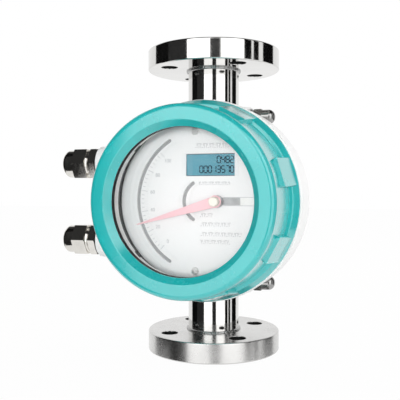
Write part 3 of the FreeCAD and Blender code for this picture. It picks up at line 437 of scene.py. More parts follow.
def slot_finish(slot):
    """The finish of one of the part's material slots."""
    tints = bpy.context.scene.flow_meter_colours
    if slot == "polished_steel":
        return finish("polished steel", shade_of(tints.steel, 0.9), (0.05, 0.11), 1.0, 25.0, 1800.0, 0.02,
                      turned=Matrix.Identity(4))
    if slot == "plated_steel":
        return finish("plated steel", shade_of(tints.plating, 0.88), (0.06, 0.16), 1.0, 60.0, 2500.0, 0.03)
    if slot == "white_paint":
        return finish("white coat", shade_of(tints.housing, 0.97), (0.28, 0.4), 0.0, 20.0, 700.0, 0.12,
                      Coat_Weight=0.25, Coat_Roughness=0.15)
    if slot == "teal_paint":
        return finish("teal coat", shade_of(tints.cover, 0.93), (0.2, 0.3), 0.0, 18.0, 520.0, 0.04,
                      Coat_Weight=1.0, Coat_Roughness=0.16, Coat_IOR=1.76)
    if slot == "black_rubber":
        return finish("black rubber", shade_of(tints.rubber, 1.5), (0.55, 0.75), 0.0, 60.0, 1600.0, 0.2,
                      Specular_IOR_Level=0.25)
    if slot == "pale_plastic":
        return finish("pale plastic", shade_of(tints.ring, 0.92), (0.3, 0.45), 0.0, 40.0, 1200.0, 0.06)
    if slot == "dial_white":
        return finish("dial white", shade_of(tints.dial, 0.965), (0.5, 0.62), 0.0, 14.0, 2400.0, 0.04)
    if slot == "nickel_brass":
        return finish("nickel plate", shade_of(tints.nickel, 0.86), (0.05, 0.13), 1.0, 70.0, 3000.0, 0.03)
    if slot == "bare_aluminium":
        return finish("bare aluminium", ((0.62, 0.63, 0.64), (0.5, 0.51, 0.52)), (0.3, 0.45), 1.0, 50.0,
                      1500.0, 0.1)
    if slot == "bare_brass":
        return finish("bare brass", ((0.75, 0.52, 0.2), (0.6, 0.4, 0.15)), (0.22, 0.4), 1.0, 60.0, 1800.0, 0.08)
    if slot == "magnet_grey":
        return finish("magnet", ((0.09, 0.09, 0.1), (0.05, 0.05, 0.055)), (0.45, 0.6), 0.6, 80.0, 1500.0, 0.15)
    if slot == "pointer_red":
        return finish("pointer red", shade_of(tints.pointer, 0.9), (0.4, 0.55), 0.0, 80.0, 2500.0, 0.03)
    if slot == "cream_plastic":
        return finish("cream plastic", ((0.92, 0.88, 0.8), (0.86, 0.81, 0.72)), (0.35, 0.5), 0.0, 80.0, 2000.0, 0.05)
    if slot == "board_green":
        return finish("board green", ((0.02, 0.16, 0.07), (0.03, 0.22, 0.09)), (0.3, 0.45), 0.0, 150.0,
                      2500.0, 0.1)
    if slot == "display_blue":
        return finish("display case", ((0.06, 0.075, 0.085), (0.045, 0.055, 0.065)), (0.4, 0.5), 0.0, 60.0, 1800.0, 0.05)
    if slot == "black_plastic":
        return finish("black plastic", ((0.03, 0.03, 0.032), (0.05, 0.05, 0.052)), (0.4, 0.55), 0.0, 60.0,
                      1500.0, 0.12)
    if slot == "screw_steel":
        return finish("screw steel", ((0.82, 0.82, 0.81), (0.7, 0.7, 0.69)), (0.35, 0.5), 1.0, 90.0, 2500.0, 0.06)
    if slot == "clear_glass":
        return clear_glass()
    raise RuntimeError("no finish for the slot " + slot)


def clear_glass():
    """Window glass that lets the lamps through."""
    material = bpy.data.materials.get("clear glass")
    if material:
        return material
    material = bpy.data.materials.new("clear glass")
    material.use_nodes = True
    tree = material.node_tree
    shader = tree.nodes["Principled BSDF"]
    shader.inputs["Transmission Weight"].default_value = 1.0
    shader.inputs["IOR"].default_value = 1.45
    place = add(tree, "TexCoord").outputs["Object"]
    smear = grouped(tree, mottle_group(), place, 22.0)
    tint = add(tree, "ValToRGB", {"Fac": smear})
    tint.color_ramp.elements[0].color = (0.97, 0.985, 0.98, 1.0)
    tint.color_ramp.elements[1].color = (0.99, 0.995, 0.99, 1.0)
    tree.links.new(tint.outputs["Color"], shader.inputs["Base Color"])
    gloss = add(tree, "MapRange", {"Value": smear, "To Min": 0.0, "To Max": 0.02})
    tree.links.new(gloss.outputs[0], shader.inputs["Roughness"])
    path = add(tree, "LightPath")
    through = add(tree, "BsdfTransparent")
    mirror = add(tree, "BsdfAnisotropic", {"Roughness": 0.0})
    edge = add(tree, "Fresnel", {"IOR": 1.12})
    sheen = add(tree, "MixShader", {0: edge.outputs[0], 1: through.outputs[0], 2: mirror.outputs[0]})
    amount = add(tree, "MapRange", {"Value": path.outputs["Is Shadow Ray"], "To Min": 0.05, "To Max": 0.0})
    mix = add(tree, "MixShader", {0: amount.outputs[0], 1: sheen.outputs[0], 2: shader.outputs[0]})
    tree.links.new(mix.outputs[0], tree.nodes["Material Output"].inputs["Surface"])
    return material


# Values that a user would change

class FlowMeterSizes(bpy.types.PropertyGroup):
    """Sizes of the details that the finished pieces add to the solids."""
    face_rings: IntProperty(
        name="Face rings", description="Fine grooves on each flange's raised face", default=9, min=0)
    weld_ripples: IntProperty(
        name="Weld ripples", description="Ripples round each weld bead", default=64, min=8)
    scale_marks: IntProperty(
        name="Scale marks", description="Short marks along the dial's scale", default=26, min=2)
    mark_width: FloatProperty(
        name="Mark width", description="Width of one mark on the dial", default=0.00032, unit="LENGTH")
    number_height: FloatProperty(
        name="Number height", description="Height of the dial's numbers", default=0.0042, unit="LENGTH")
    digit_height: FloatProperty(
        name="Digit height", description="Height of the display's digits", default=0.0054, unit="LENGTH")
    lens: FloatProperty(
        name="Lens", description="Focal length of the camera", default=55.57, unit="CAMERA")


class FlowMeterColours(bpy.types.PropertyGroup):
    """Colours of the coats and metals."""
    cover: FloatVectorProperty(
        name="Cover", description="Coat of the screw cover", subtype="COLOR", default=(0.008, 0.455, 0.455))
    housing: FloatVectorProperty(
        name="Housing", description="Coat of the cast housing", subtype="COLOR", default=(0.88, 0.88, 0.875))
    steel: FloatVectorProperty(
        name="Steel", description="Tube and flanges", subtype="COLOR", default=(0.74, 0.735, 0.72))
    plating: FloatVectorProperty(
        name="Plating", description="Clamp bolts and nuts", subtype="COLOR", default=(0.38, 0.38, 0.375))
    nickel: FloatVectorProperty(
        name="Nickel", description="Cable glands", subtype="COLOR", default=(0.78, 0.76, 0.72))
    rubber: FloatVectorProperty(
        name="Rubber", description="Seals and gasket", subtype="COLOR", default=(0.008, 0.0085, 0.009))
    ring: FloatVectorProperty(
        name="Glass ring", description="Ring that holds the glass", subtype="COLOR", default=(0.92, 0.925, 0.91))
    dial: FloatVectorProperty(
        name="Dial", description="Dial plate", subtype="COLOR", default=(0.905, 0.905, 0.905))
    marks: FloatVectorProperty(
        name="Marks", description="Scale marks and numbers", subtype="COLOR", default=(0.5, 0.51, 0.53))
    print: FloatVectorProperty(
        name="Print", description="Printed rows on the dial", subtype="COLOR", default=(0.5, 0.5, 0.51))
    # Grey of the sheets and strips behind the dial's slots: painted shade
    slots: FloatVectorProperty(
        name="Slots", description="Strip behind the dial's slots", subtype="COLOR", default=(0.34, 0.345, 0.35))
    pointer: FloatVectorProperty(
        name="Pointer", description="Pointer", subtype="COLOR", default=(0.92, 0.6, 0.64))
    display: FloatVectorProperty(
        name="Display", description="Pane of the display", subtype="COLOR", default=(0.12, 0.32, 0.4))


# Pieces

class FLOW_METER_OT_tube(bpy.types.Operator):
    """Flow tube, with the wide ends and the cone of its bore"""
    bl_idname = "flow_meter.tube"
    bl_label = "Flow tube"

    def execute(self, context):
        tube = turn("flow_tube", [
            (17.5, 0, 0.6), (TUBE_R, 0, 0.4), (TUBE_R, FACE_TO_FACE, 0.4), (18.0, FACE_TO_FACE, 0.6),
            (18.0, 207.0), (19.4, 207.0), (19.4, 205.3), (18.0, 205.3), (18.0, 199.0), (16.6, 199.0, 0.4),
            (16.6, 193.0), (13.9, 72.0), (13.9, 66.0, 0.4), (17.5, 66.0), (17.5, 59.7), (19.4, 59.7),
            (19.4, 58.0), (17.5, 58.0),
        ], 160)
        finish_piece(tube, "base", "polished_steel", slot_finish("polished_steel"), "measuring_tube")
        return {"FINISHED"}


class FLOW_METER_OT_flanges(bpy.types.Operator):
    """Two flanges with grooved faces, and their rippled weld beads"""
    bl_idname = "flow_meter.flanges"
    bl_label = "Flanges"

    def execute(self, context):
        sizes = context.scene.flow_meter_sizes
        bore = TUBE_R + 0.02
        outline = [(bore, 0), (24.0, 0)]
        pitch = (RAISED_FACE_R - 25.0) / max(1, sizes.face_rings)
        for ring in range(sizes.face_rings):
            foot = 24.0 + ring * pitch
            outline += [(foot + pitch * 0.3, 0), (foot + pitch * 0.5, 0.2), (foot + pitch * 0.7, 0)]
        outline += [
            (RAISED_FACE_R, 0, 0.3), (RAISED_FACE_R, RAISED_FACE_H), (FLANGE_R, RAISED_FACE_H, 1.2),
            (FLANGE_R, FLANGE_TOP, 1.2), (bore + WELD_LEG, FLANGE_TOP), (bore, FLANGE_TOP + WELD_LEG),
        ]
        flange = turn("flange", outline, 192)
        centres = [swing(45 + 90 * step) @ Vector((BOLT_CIRCLE_R, 0, 0)) for step in range(4)]
        for centre in centres:
            hole = turn("hole", [(0, -1), (BOLT_HOLE_R, -1), (BOLT_HOLE_R, 21), (0, 21)], 64)
            combine(flange, place(hole, shift(centre.x, centre.y)), "DIFFERENCE")

        def on_hole(a, b):
            near = [any(abs((point.xy - centre.xy).length - BOLT_HOLE_R) < 0.05 for centre in centres)
                    for point in (a, b)]
            return all(near) and abs(a.z - b.z) < 0.01

        break_edges(flange, 0.5, 2, on_hole)
        drilled = [index for index, face in enumerate(flange.data.polygons)
                   if any((face.center.xy / MM - centre.xy).length < BOLT_HOLE_R for centre in centres)]
        over = shift(z=FACE_TO_FACE) @ swing(180, "X")
        inlet, outlet = copies(flange, [Matrix.Identity(4), over])
        inlet.name = "inlet_flange"
        outlet.name = "outlet_flange"
        # The lower flange gets the same steel, rougher and darker: the darker colour is painted shade
        shaded_steel = finish("steel with painted shade", ((0.68, 0.675, 0.665), (0.62, 0.615, 0.605)), (0.22, 0.3), 1.0,
                       25.0, 1500.0, 0.03, turned=Matrix.Identity(4))
        finish_piece(inlet, "base", "polished_steel", shaded_steel, "lower_flange")
        finish_piece(outlet, "base", "polished_steel", slot_finish("polished_steel"), "upper_flange")
        # The faces in the bolt holes are near black: painted shade in the holes
        bare = finish("painted bolt hole shade", ((0.07, 0.07, 0.068), (0.05, 0.05, 0.05)), (0.35, 0.5), 1.0, 60.0, 2000.0, 0.1)
        for disc in (inlet, outlet):
            disc.data.materials.append(bare)
            for index in drilled:
                disc.data.polygons[index].material_index = 1

        take()
        rings = sizes.weld_ripples * 4
        bpy.ops.mesh.primitive_torus_add(major_segments=rings, minor_segments=12, major_radius=(bore + 0.6) * MM,
                                         minor_radius=0.95 * MM, location=(0, 0, (FLANGE_TOP + 0.5) * MM))
        bead = context.object
        bpy.ops.object.transform_apply(location=True, rotation=True, scale=True)
        bpy.context.tool_settings.mesh_select_mode = (True, False, False)
        bpy.ops.object.mode_set(mode="EDIT")
        bpy.ops.mesh.select_all(action="DESELECT")
        bpy.ops.object.mode_set(mode="OBJECT")
        for vertex in bead.data.vertices:
            step = round(math.atan2(vertex.co.y, vertex.co.x) / math.tau * rings)
            vertex.select = step % 4 == 0
        bpy.ops.object.mode_set(mode="EDIT")
        bpy.ops.transform.shrink_fatten(value=0.12 * MM)
        bpy.ops.object.mode_set(mode="OBJECT")
        beads = joined("weld_beads", copies(bead, [Matrix.Identity(4), over]))
        finish_piece(beads, "base", "polished_steel", slot_finish("plated_steel"))
        return {"FINISHED"}


class FLOW_METER_OT_housing(bpy.types.Operator):
    """Cast housing: drum, neck, clamp ears, gland spouts and the channel for the tube"""
    bl_idname = "flow_meter.housing"
    bl_label = "Housing"

    def execute(self, context):
        housing = turn("cast_housing", [
            (0, HOUSING_BACK), (HOUSING_R, HOUSING_BACK, 14.0), (HOUSING_R, HOUSING_FRONT, 1.6),
            (NECK_R, HOUSING_FRONT), (NECK_R, NECK_FRONT, 1.0), (0, NECK_FRONT),
        ], 192)
        ear = slab("ear", [
            (CLAMP_Z - 11.0, CLAMP_Y - 11.0, 10.0), (CLAMP_Z - 11.0, CLAMP_Y + 11.0, 10.0),
            (14.0, 79.5), (14.0, CLAMP_Y - 11.0),
        ], -EAR_OUTER_X, -CHANNEL_R + 0.5)
        soften(ear, 0.9, 3, 60)
        place(ear, swing(-90, "Y"))
        mirror = Matrix.Scale(-1, 4, (1, 0, 0))
        flip = Matrix.Scale(-1, 4, (0, 1, 0))
        for lug in copies(ear, [Matrix.Identity(4), mirror, flip, mirror @ flip]):
            take(lug)
            bpy.ops.object.mode_set(mode="EDIT")
            close_up()
            combine(housing, lug, "UNION")
        for y in GLAND_Y.values():
            length = SPOUT_ROOT_X - SPOUT_FACE_X
            spout = turn("spout", [(0, 0), (SPOUT_R, 0), (SPOUT_R, length, 1.2), (0, length)], 96)
            combine(housing, place(spout, shift(SPOUT_ROOT_X, y, GLAND_Z) @ swing(-90, "Y")), "UNION")
        cavity = turn("cavity", [
            (0, -9.5), (80.0, -9.5, 9.5), (80.0, 31.5), (NECK_BORE_R, 31.5, 0.0001), (NECK_BORE_R, 61), (0, 61),
        ], 160)
        tunnel = slab("tunnel", [
            (-TUNNEL_HALF, -20), (TUNNEL_HALF, -20), (TUNNEL_HALF, TUNNEL_TOP, 12.0),
            (-TUNNEL_HALF, TUNNEL_TOP, 12.0),
        ], -90, 90)
        combine(cavity, place(tunnel, swing(90, "X")), "DIFFERENCE")
        combine(housing, cavity, "DIFFERENCE")
        for y in (7.0, -7.0):
            pillar = turn("pillar", [(0, -10.5), (4.5, -10.5), (4.5, TUNNEL_TOP, 0.4), (0, TUNNEL_TOP)], 48)
            combine(housing, place(pillar, shift(33, y)), "UNION")
        arc = [(CHANNEL_R * math.cos(math.radians(a)), CHANNEL_R * math.sin(math.radians(a)))
               for a in range(0, 181, 3)]
        channel = slab("channel", arc + [(-CHANNEL_R, -90), (CHANNEL_R, -90)], -100, 100)
        combine(housing, place(channel, swing(90, "X")), "DIFFERENCE")
        for y in (CLAMP_Y, -CLAMP_Y):
            hole = turn("hole", [(0, -60), (4.25, -60), (4.25, 60), (0, 60)], 48)
            combine(housing, place(hole, shift(0, y, CLAMP_Z) @ swing(90, "Y")), "DIFFERENCE")
        for y in GLAND_Y.values():
            hole = turn("hole", [(0, -1), (10.0, -1), (10.0, 40), (0, 40)], 64)
            combine(housing, place(hole, shift(SPOUT_FACE_X, y, GLAND_Z) @ swing(90, "Y")), "DIFFERENCE")
        inner = [index for index, face in enumerate(housing.data.polygons) if self.inside(face.center / MM)]
        place(housing, DIAL)
        finish_piece(housing, "base", "white_paint", slot_finish("white_paint"), "housing")
        # Faces that look into the cavity are near black: painted shade inside the housing
        housing.data.materials.append(finish("painted cavity shade", ((0.05, 0.052, 0.05), (0.035, 0.036, 0.036)), (0.6, 0.75),
                                             0.0, 25.0, 600.0, 0.2))
        for index in inner:
            housing.data.polygons[index].material_index = 1
        return {"FINISHED"}

    def inside(self, spot):
        """Whether a face of the housing, in the dial's frame, looks into its cavity."""
        reach = 80.1 if spot.z < 31.6 else 67.8
        by_tube = math.hypot(spot.x, spot.z) < 23 or (abs(spot.x) < 23 and spot.z < 0)
        return spot.xy.length < reach and -9.6 < spot.z and not by_tube


class FLOW_METER_OT_clamp(bpy.types.Operator):
    """Cross bolts behind the tube, with washers, split washers and domed nuts"""
    bl_idname = "flow_meter.clamp"
    bl_label = "Clamp bolts"

    def execute(self, context):
        seats = [DIAL @ shift(0, y, CLAMP_Z) @ swing(90, "Y") for y in (CLAMP_Y, -CLAMP_Y)]
        plated = slot_finish("plated_steel")
        seat = EAR_OUTER_X + 1.6
        shank = [(0, -seat - 1), (BOLT_R, -seat - 1), (BOLT_R, seat - 8)]
        shank += thread(BOLT_R, 0.4, 1.25, seat - 7.5, seat + 10.5) + [(BOLT_R - 0.4, seat + 11.5), (0, seat + 11.5)]
        bolt = combine(turn("bolt", shank, 48), hexagon("head", 14.0, -seat - 5.3, -seat), "UNION")
        bolts = joined("hex_bolts", copies(bolt, seats))
        finish_piece(bolts, "base", "plated_steel", plated, "clamp_bolts")

        washers = []
        for low in (EAR_OUTER_X, -seat):
            washer = turn("washer", [(4.25, low, 0.2), (8.0, low, 0.35), (8.0, low + 1.6, 0.35),
                                     (4.25, low + 1.6, 0.2)], 64)
            washers += copies(washer, seats)
        finish_piece(joined("flat_washers", washers), "base", "plated_steel", plated, "clamp_washers")

        split = turn("split", [(4.25, seat, 0.2), (7.0, seat, 0.25), (7.0, seat + 2, 0.25), (4.25, seat + 2, 0.2)], 72)
        slit = slab("slit", [(0, -0.5), (9, -0.5), (9, 0.5), (0, 0.5)], seat - 1, seat + 3)
        combine(split, place(slit, shift(0, 0, 0)), "DIFFERENCE")
        splits = joined("split_washers", copies(split, seats))
        finish_piece(splits, "base", "plated_steel", plated, "spring_washers")

        foot = seat + 2
        nut = hexagon("nut", 14.0, foot, foot + 7.0)
        dome = turn("dome", [(0, foot + 1), (6.6, foot + 1), (6.6, foot + 18.6, 5.8), (0, foot + 18.6)], 64)
        combine(nut, dome, "UNION")
        hole = turn("hole", [(0, foot - 1), (4.05, foot - 1), (4.05, foot + 11), (0, foot + 11)], 48)
        combine(nut, hole, "DIFFERENCE")
        nuts = joined("domed_nuts", copies(nut, seats))
        finish_piece(nuts, "base", "plated_steel", plated, "cap_nuts")
        return {"FINISHED"}


class FLOW_METER_OT_glands(bpy.types.Operator):
    """Two cable glands: sealing washer, body, rubber seal and domed nut"""
    bl_idname = "flow_meter.glands"
    bl_label = "Cable glands"

    def execute(self, context):
        nickel = slot_finish("nickel_brass")
        rubber = slot_finish("black_rubber")
        washer = turn("gland_washer", [(10.0, 0), (14.0, 0, 0.4), (14.0, 1.5, 0.4), (10.0, 1.5)], 72)
        body = turn("gland_body", [
            (7.6, -16), *thread(9.95, 0.5, 1.5, -16, 1), (9.4, 2), (9.4, 8.0), (12.2, 8.0),
            *thread(12.2, 0.5, 1.1, 8.3, 11.6), (12.2, 11.6), (10.0, 11.6),
            *thread(10.6, 0.5, 1.5, 12, 19.5), (10.1, 20), (7.6, 20, 0.6),
        ], 96)
        combine(body, self.hexagon_ring("body_hex", 1.5, 8.2), "UNION")
        seal = turn("gland_seal", [(5.0, 20, 0.5), (10.5, 20, 0.5), (10.5, 32), (5.0, 32, 0.8)], 64)
        skirt = turn("gland_nut", [
            (10.7, 11.6), (12.6, 11.6), (12.6, 26.0), (12.6, 35.5, 4.5), (7.2, 35.5, 0.6), (7.2, 32), (10.7, 32),
        ], 96)
        combine(skirt, self.hexagon_ring("nut_hex", 11.6, 24.5, 10.7), "UNION")
        for pattern, words, slot, coat in (
                (washer, "washer", "black_rubber", rubber), (body, "body", "nickel_brass", nickel),
                (seal, "seal", "black_rubber", rubber), (skirt, "nut", "nickel_brass", nickel)):
            places = [DIAL @ shift(SPOUT_FACE_X, y, GLAND_Z) @ swing(-90, "Y") for y in GLAND_Y.values()]
            for side, piece in zip(GLAND_Y, copies(pattern, places)):
                piece.name = side + "_cable_" + words
                finish_piece(piece, "base", slot, coat, side + "_gland_" + words)
        return {"FINISHED"}

    def hexagon_ring(self, name, low, high, bore=9.0):
        """Hexagon with a hole through it."""
        ring = hexagon(name, 26.0, low, high)
        hole = turn("hole", [(0, low - 1), (bore, low - 1), (bore, high + 1), (0, high + 1)], 96)
        return combine(ring, hole, "DIFFERENCE")


class FLOW_METER_OT_cover(bpy.types.Operator):
    """Screw cover with its grip lugs and O-ring"""
    bl_idname = "flow_meter.cover"
    bl_label = "Screw cover"

    def execute(self, context):
        cover = turn("screw_cover", [
            (71.0, 36.8, 0.5), (75.5, 36.8), (75.5, 39.8), (79.1, 39.8), (79.1, 36.8), (83.2, 36.8, 0.6),
            (83.2, 40.5, 1.8), (79.4, 47.8, 1.8), (76.2, 48.6, 0.5), (73.9, 84.0, 0.8), (74.6, 86.0, 0.6),
            (74.6, COVER_FRONT, 4.8), (62.1, COVER_FRONT, 1.0), (57.4, 86.0, 0.2), (57.4, 85.4), (58.1, 85.4),
            (58.1, 82.0), (66.3, 82.0), (66.3, 62.0), (71.0, 62.0),
        ], 256)
        lug = slab("lug", [(72.0, 42.0), (81.2, 42.0), (77.2, 69.5, 1.2), (74.0, 73.2), (72.0, 73.2)], -11.5, 11.5)

        def on_side(a, b):
            return abs(abs(a.z) - 11.5) < 0.01 and abs(a.z - b.z) < 0.01 and min(a.x, b.x) > 74.4

        break_edges(lug, 0.8, 3, on_side)
        place(lug, swing(90, "X"))
        plan = slab("plan", [(-11.5, 42), (11.5, 42), (11.5, 73.2, 5.0), (-11.5, 73.2, 5.0)], 71.9, 82)
        combine(lug, place(plan, swing(120, Vector((1, 1, 1)))), "INTERSECT")
        for grip in copies(lug, [swing(17 + 45 * step) for step in range(8)]):
            combine(cover, grip, "UNION")
        place(cover, DIAL)
        finish_piece(cover, "cover", "teal_paint", slot_finish("teal_paint"), "front_cover")

        take()
        bpy.ops.mesh.primitive_torus_add(major_segments=160, minor_segments=16, major_radius=77.3 * MM,
                                         minor_radius=1.5 * MM, location=(0, 0, 0))
        ring = place(context.object, DIAL @ shift(0, 0, 37.8))
        ring.name = "cover_o_ring"
        finish_piece(ring, "cover_seal", "black_rubber", slot_finish("black_rubber"), "cover_seal")
        return {"FINISHED"}


class FLOW_METER_OT_window(bpy.types.Operator):
    """Window glass, its gasket and the ring that holds it"""
    bl_idname = "flow_meter.window"
    bl_label = "Window"

    def execute(self, context):
        # The gasket's lip through the opening is black rubber and also stands for the shade in the gap at the opening's
        # edge: partly painted shade
        gasket = turn("window_seal", [
            (57.4, 80.5), (65.8, 80.5, 0.3), (65.8, 82, 0.3), (58.05, 82), (58.05, 85.35), (57.4, 85.35)], 192)
        finish_piece(place(gasket, DIAL), "cover", "black_rubber", slot_finish("black_rubber"), "window_gasket")
        glass = turn("round_glass", [(0, 75.5), (65.5, 75.5, 0.6), (65.5, 80.5, 0.6), (0, 80.5)], 192)
        finish_piece(place(glass, DIAL), "cover", "clear_glass", slot_finish("clear_glass"), "window_glass")
        ring = turn("holding_ring", [(60.0, 68, 0.5), (66.2, 68, 0.5), (66.2, 75.5, 0.3), (60.0, 75.5, 0.3)], 192)
        notch = slab("notch", rectangle(10, 7, 0.8, 64, 0), 67, 71)
        for cut in copies(notch, [swing(45 + 90 * step) for step in range(4)]):
            combine(ring, cut, "DIFFERENCE")
        finish_piece(place(ring, DIAL), "cover", "pale_plastic", slot_finish("pale_plastic"), "glass_ring")
        return {"FINISHED"}


class FLOW_METER_OT_dial(bpy.types.Operator):
    """Dial plate with its slots, marks, numbers and screws"""
    bl_idname = "flow_meter.dial"
    bl_label = "Dial"

    ROWS = ((0.5, 29, 45.0, 4.0), (2.7, 30, 14.6, 2.6), (4.4, 16, -11.1, 3.2), (5, 31, -18.5, 3.2),
            (5, 40, -26.4, 3.2), (4.4, 30, -32.6, 3.2))

    def curved_slot(self, radius, half_deg, width, low, high):
        """Arc with round ends, round the left of the dial."""
        points = []
        for side, reach in ((1, radius + width / 2), (-1, radius - width / 2)):
            for step in range(49):
                turned = math.radians(180 + side * half_deg * (step / 24 - 1))
                points.append((reach * math.cos(turned), reach * math.sin(turned)))
            centre = math.radians(180 + side * half_deg)
            for step in range(1, 12):
                bend = centre + math.pi * step / 12 + (0 if side > 0 else math.pi)
                points.append((radius * math.cos(centre) + width / 2 * math.cos(bend),
                               radius * math.sin(centre) + width / 2 * math.sin(bend)))
        return place(slab("curved_slot", points, low, high), shift(SCALE_X))

    def execute(self, context):
        sizes = context.scene.flow_meter_sizes
        tints = context.scene.flow_meter_colours
        plate = turn("dial_disc", [(0, DIAL_BACK), (66.0, DIAL_BACK, 0.2), (66.0, DIAL_FACE, 0.3), (0, DIAL_FACE)], 192)
        radial = slab("radial", [(PIVOT_X - 3, -3, 2.9), (51, -3, 0.3), (51, 3, 0.3), (PIVOT_X - 3, 3, 2.9)], 48, 51)
        window = slab("window", rectangle(*DISPLAY_SIZE, 0.3, *DISPLAY_PLACE), 48, 51)
        for cut in (radial, window, self.curved_slot(58, 58.5, 3.0, 48, 51), self.curved_slot(17.7, 56, 3.0, 48, 51)):
            combine(plate, cut, "DIFFERENCE")
        finish_piece(place(plate, DIAL), "base", "dial_white", slot_finish("dial_white"), "dial_plate")

        # Grey sheets just behind the curved slots: painted shade seen through the slots
        slot_shade_sheet = joined("painted_slot_shade", [
            self.curved_slot(58, 59.5, 4.4, 48.1, 48.45), self.curved_slot(17.7, 58, 4.4, 48.1, 48.45)])
        grey = finish("painted slot shade grey", shade_of(tints.slots, 0.88), (0.5, 0.6), 0.0, 40.0, 1500.0, 0.05)
        finish_piece(place(slot_shade_sheet, DIAL), "base", "dial_white", grey)
        # Two strips behind the radial slot: the grey one is painted shade in the slot, the pale one a painted highlight
        # there
        strip_shade = finish("painted strip shade grey", shade_of(tints.slots, 1.9)[::-1], (0.5, 0.6), 0.0, 40.0, 1500.0, 0.05)
        for name, width, x, coat in (("painted_shade_strip", 16, 29, strip_shade), ("painted_highlight_strip", 16.5, 45.4, slot_finish("pale_plastic"))):
            strip = slab(name, rectangle(width, 7.6, 0.5, x, 0), 48.1, 48.45)
            soften(strip, 0.08)
            finish_piece(place(strip, DIAL), "base", "dial_white", coat)

        thick = sizes.mark_width / MM
        top = DIAL_FACE + 0.05
        mark = slab("mark", rectangle(2.4, thick, 0.05), DIAL_FACE, top)
        long_mark = slab("long_mark", rectangle(5.0, thick, 0.05), DIAL_FACE, top)
        places, long_places = [], []
        for step in range(sizes.scale_marks):
            angle = 180 - 46 + 92 * step / (sizes.scale_marks - 1)
            main = step % 5 == 0
            spot = shift(SCALE_X) @ swing(angle) @ shift(55.4 - (2.5 if main else 1.2))
            (long_places if main else places).append(spot)
        marks = copies(mark, places) + copies(long_mark, long_places)
        for step in range(6):
            angle = math.radians(180 - 46 + 92 * step / 5)
            marks.append(self.number(str(100 - 20 * step), sizes.number_height,
                                     SCALE_X + 46 * math.cos(angle), 46 * math.sin(angle)))
        # Two thin ink lines along the radial slot's edges: painted shadow of the slot's walls
        for y in (3.3, -3.3):
            marks.append(slab("painted_slot_edge_shadow", rectangle(27.5, thick, 0.05, 37.5, y), DIAL_FACE, top))
        ink = finish("scale ink", shade_of(tints.marks, 0.8), (0.5, 0.6), 0.0, 60.0, 2000.0, 0.03)
        finish_piece(place(joined("dial_marks", marks), DIAL), "base", "dial_white", ink)

        stroke = slab("stroke", rectangle(1, 1, 0.05), DIAL_FACE, top)
        spots = []
        for left, right, y, tall in self.ROWS:
            for step in range(int((right - left) / 0.9)):
                x = left + 0.9 * step
                level = (5 * step + len(spots)) % 4
                if level == 3:
                    continue
                size = (0.36, tall * (1.0 - 0.25 * level)) if step % 3 else (1.3, 0.4)
                lift = tall * (0.5 * ((3 * step + level) % 3) - 0.5) * (0.25 * level if step % 3 else 0.8)
                spots.append(shift(x, y + lift) @ Matrix.Diagonal((*size, 1, 1)))
        pale = finish("pale ink", shade_of(tints.print, 0.85), (0.5, 0.6), 0.0, 60.0, 2000.0, 0.03)
        finish_piece(place(joined("printed_rows", copies(stroke, spots)), DIAL), "base", "dial_white", pale)

        screw = turn("screw", [(0, 42), (1.5, 42), (1.5, DIAL_FACE), (3.0, DIAL_FACE), (3.0, DIAL_FACE + 1.8, 0.9),
                               (0, DIAL_FACE + 1.8)], 48)
        combine(screw, slab("slit", rectangle(7, 0.8, 0.05), DIAL_FACE + 1, DIAL_FACE + 2), "DIFFERENCE")
        turns = [shift(0, DIAL_SCREW_Y) @ swing(25), shift(0, -DIAL_SCREW_Y) @ swing(-35)]
        screws = joined("slotted_screws", copies(screw, turns))
        finish_piece(place(screws, DIAL), "base", "screw_steel", slot_finish("screw_steel"), "dial_screws")
        return {"FINISHED"}

    def number(self, words, height, x, y):
        """One number of the scale, as a thin raised shape."""
        take()
        bpy.ops.object.text_add()
        text = bpy.context.object
        text.data.body = words
        text.data.size = height
        text.data.extrude = 0.025 * MM
        text.data.align_x = "CENTER"
        text.data.align_y = "CENTER"
        bpy.ops.object.convert(target="MESH")
        return place(bpy.context.object, shift(x, y, DIAL_FACE + 0.025))


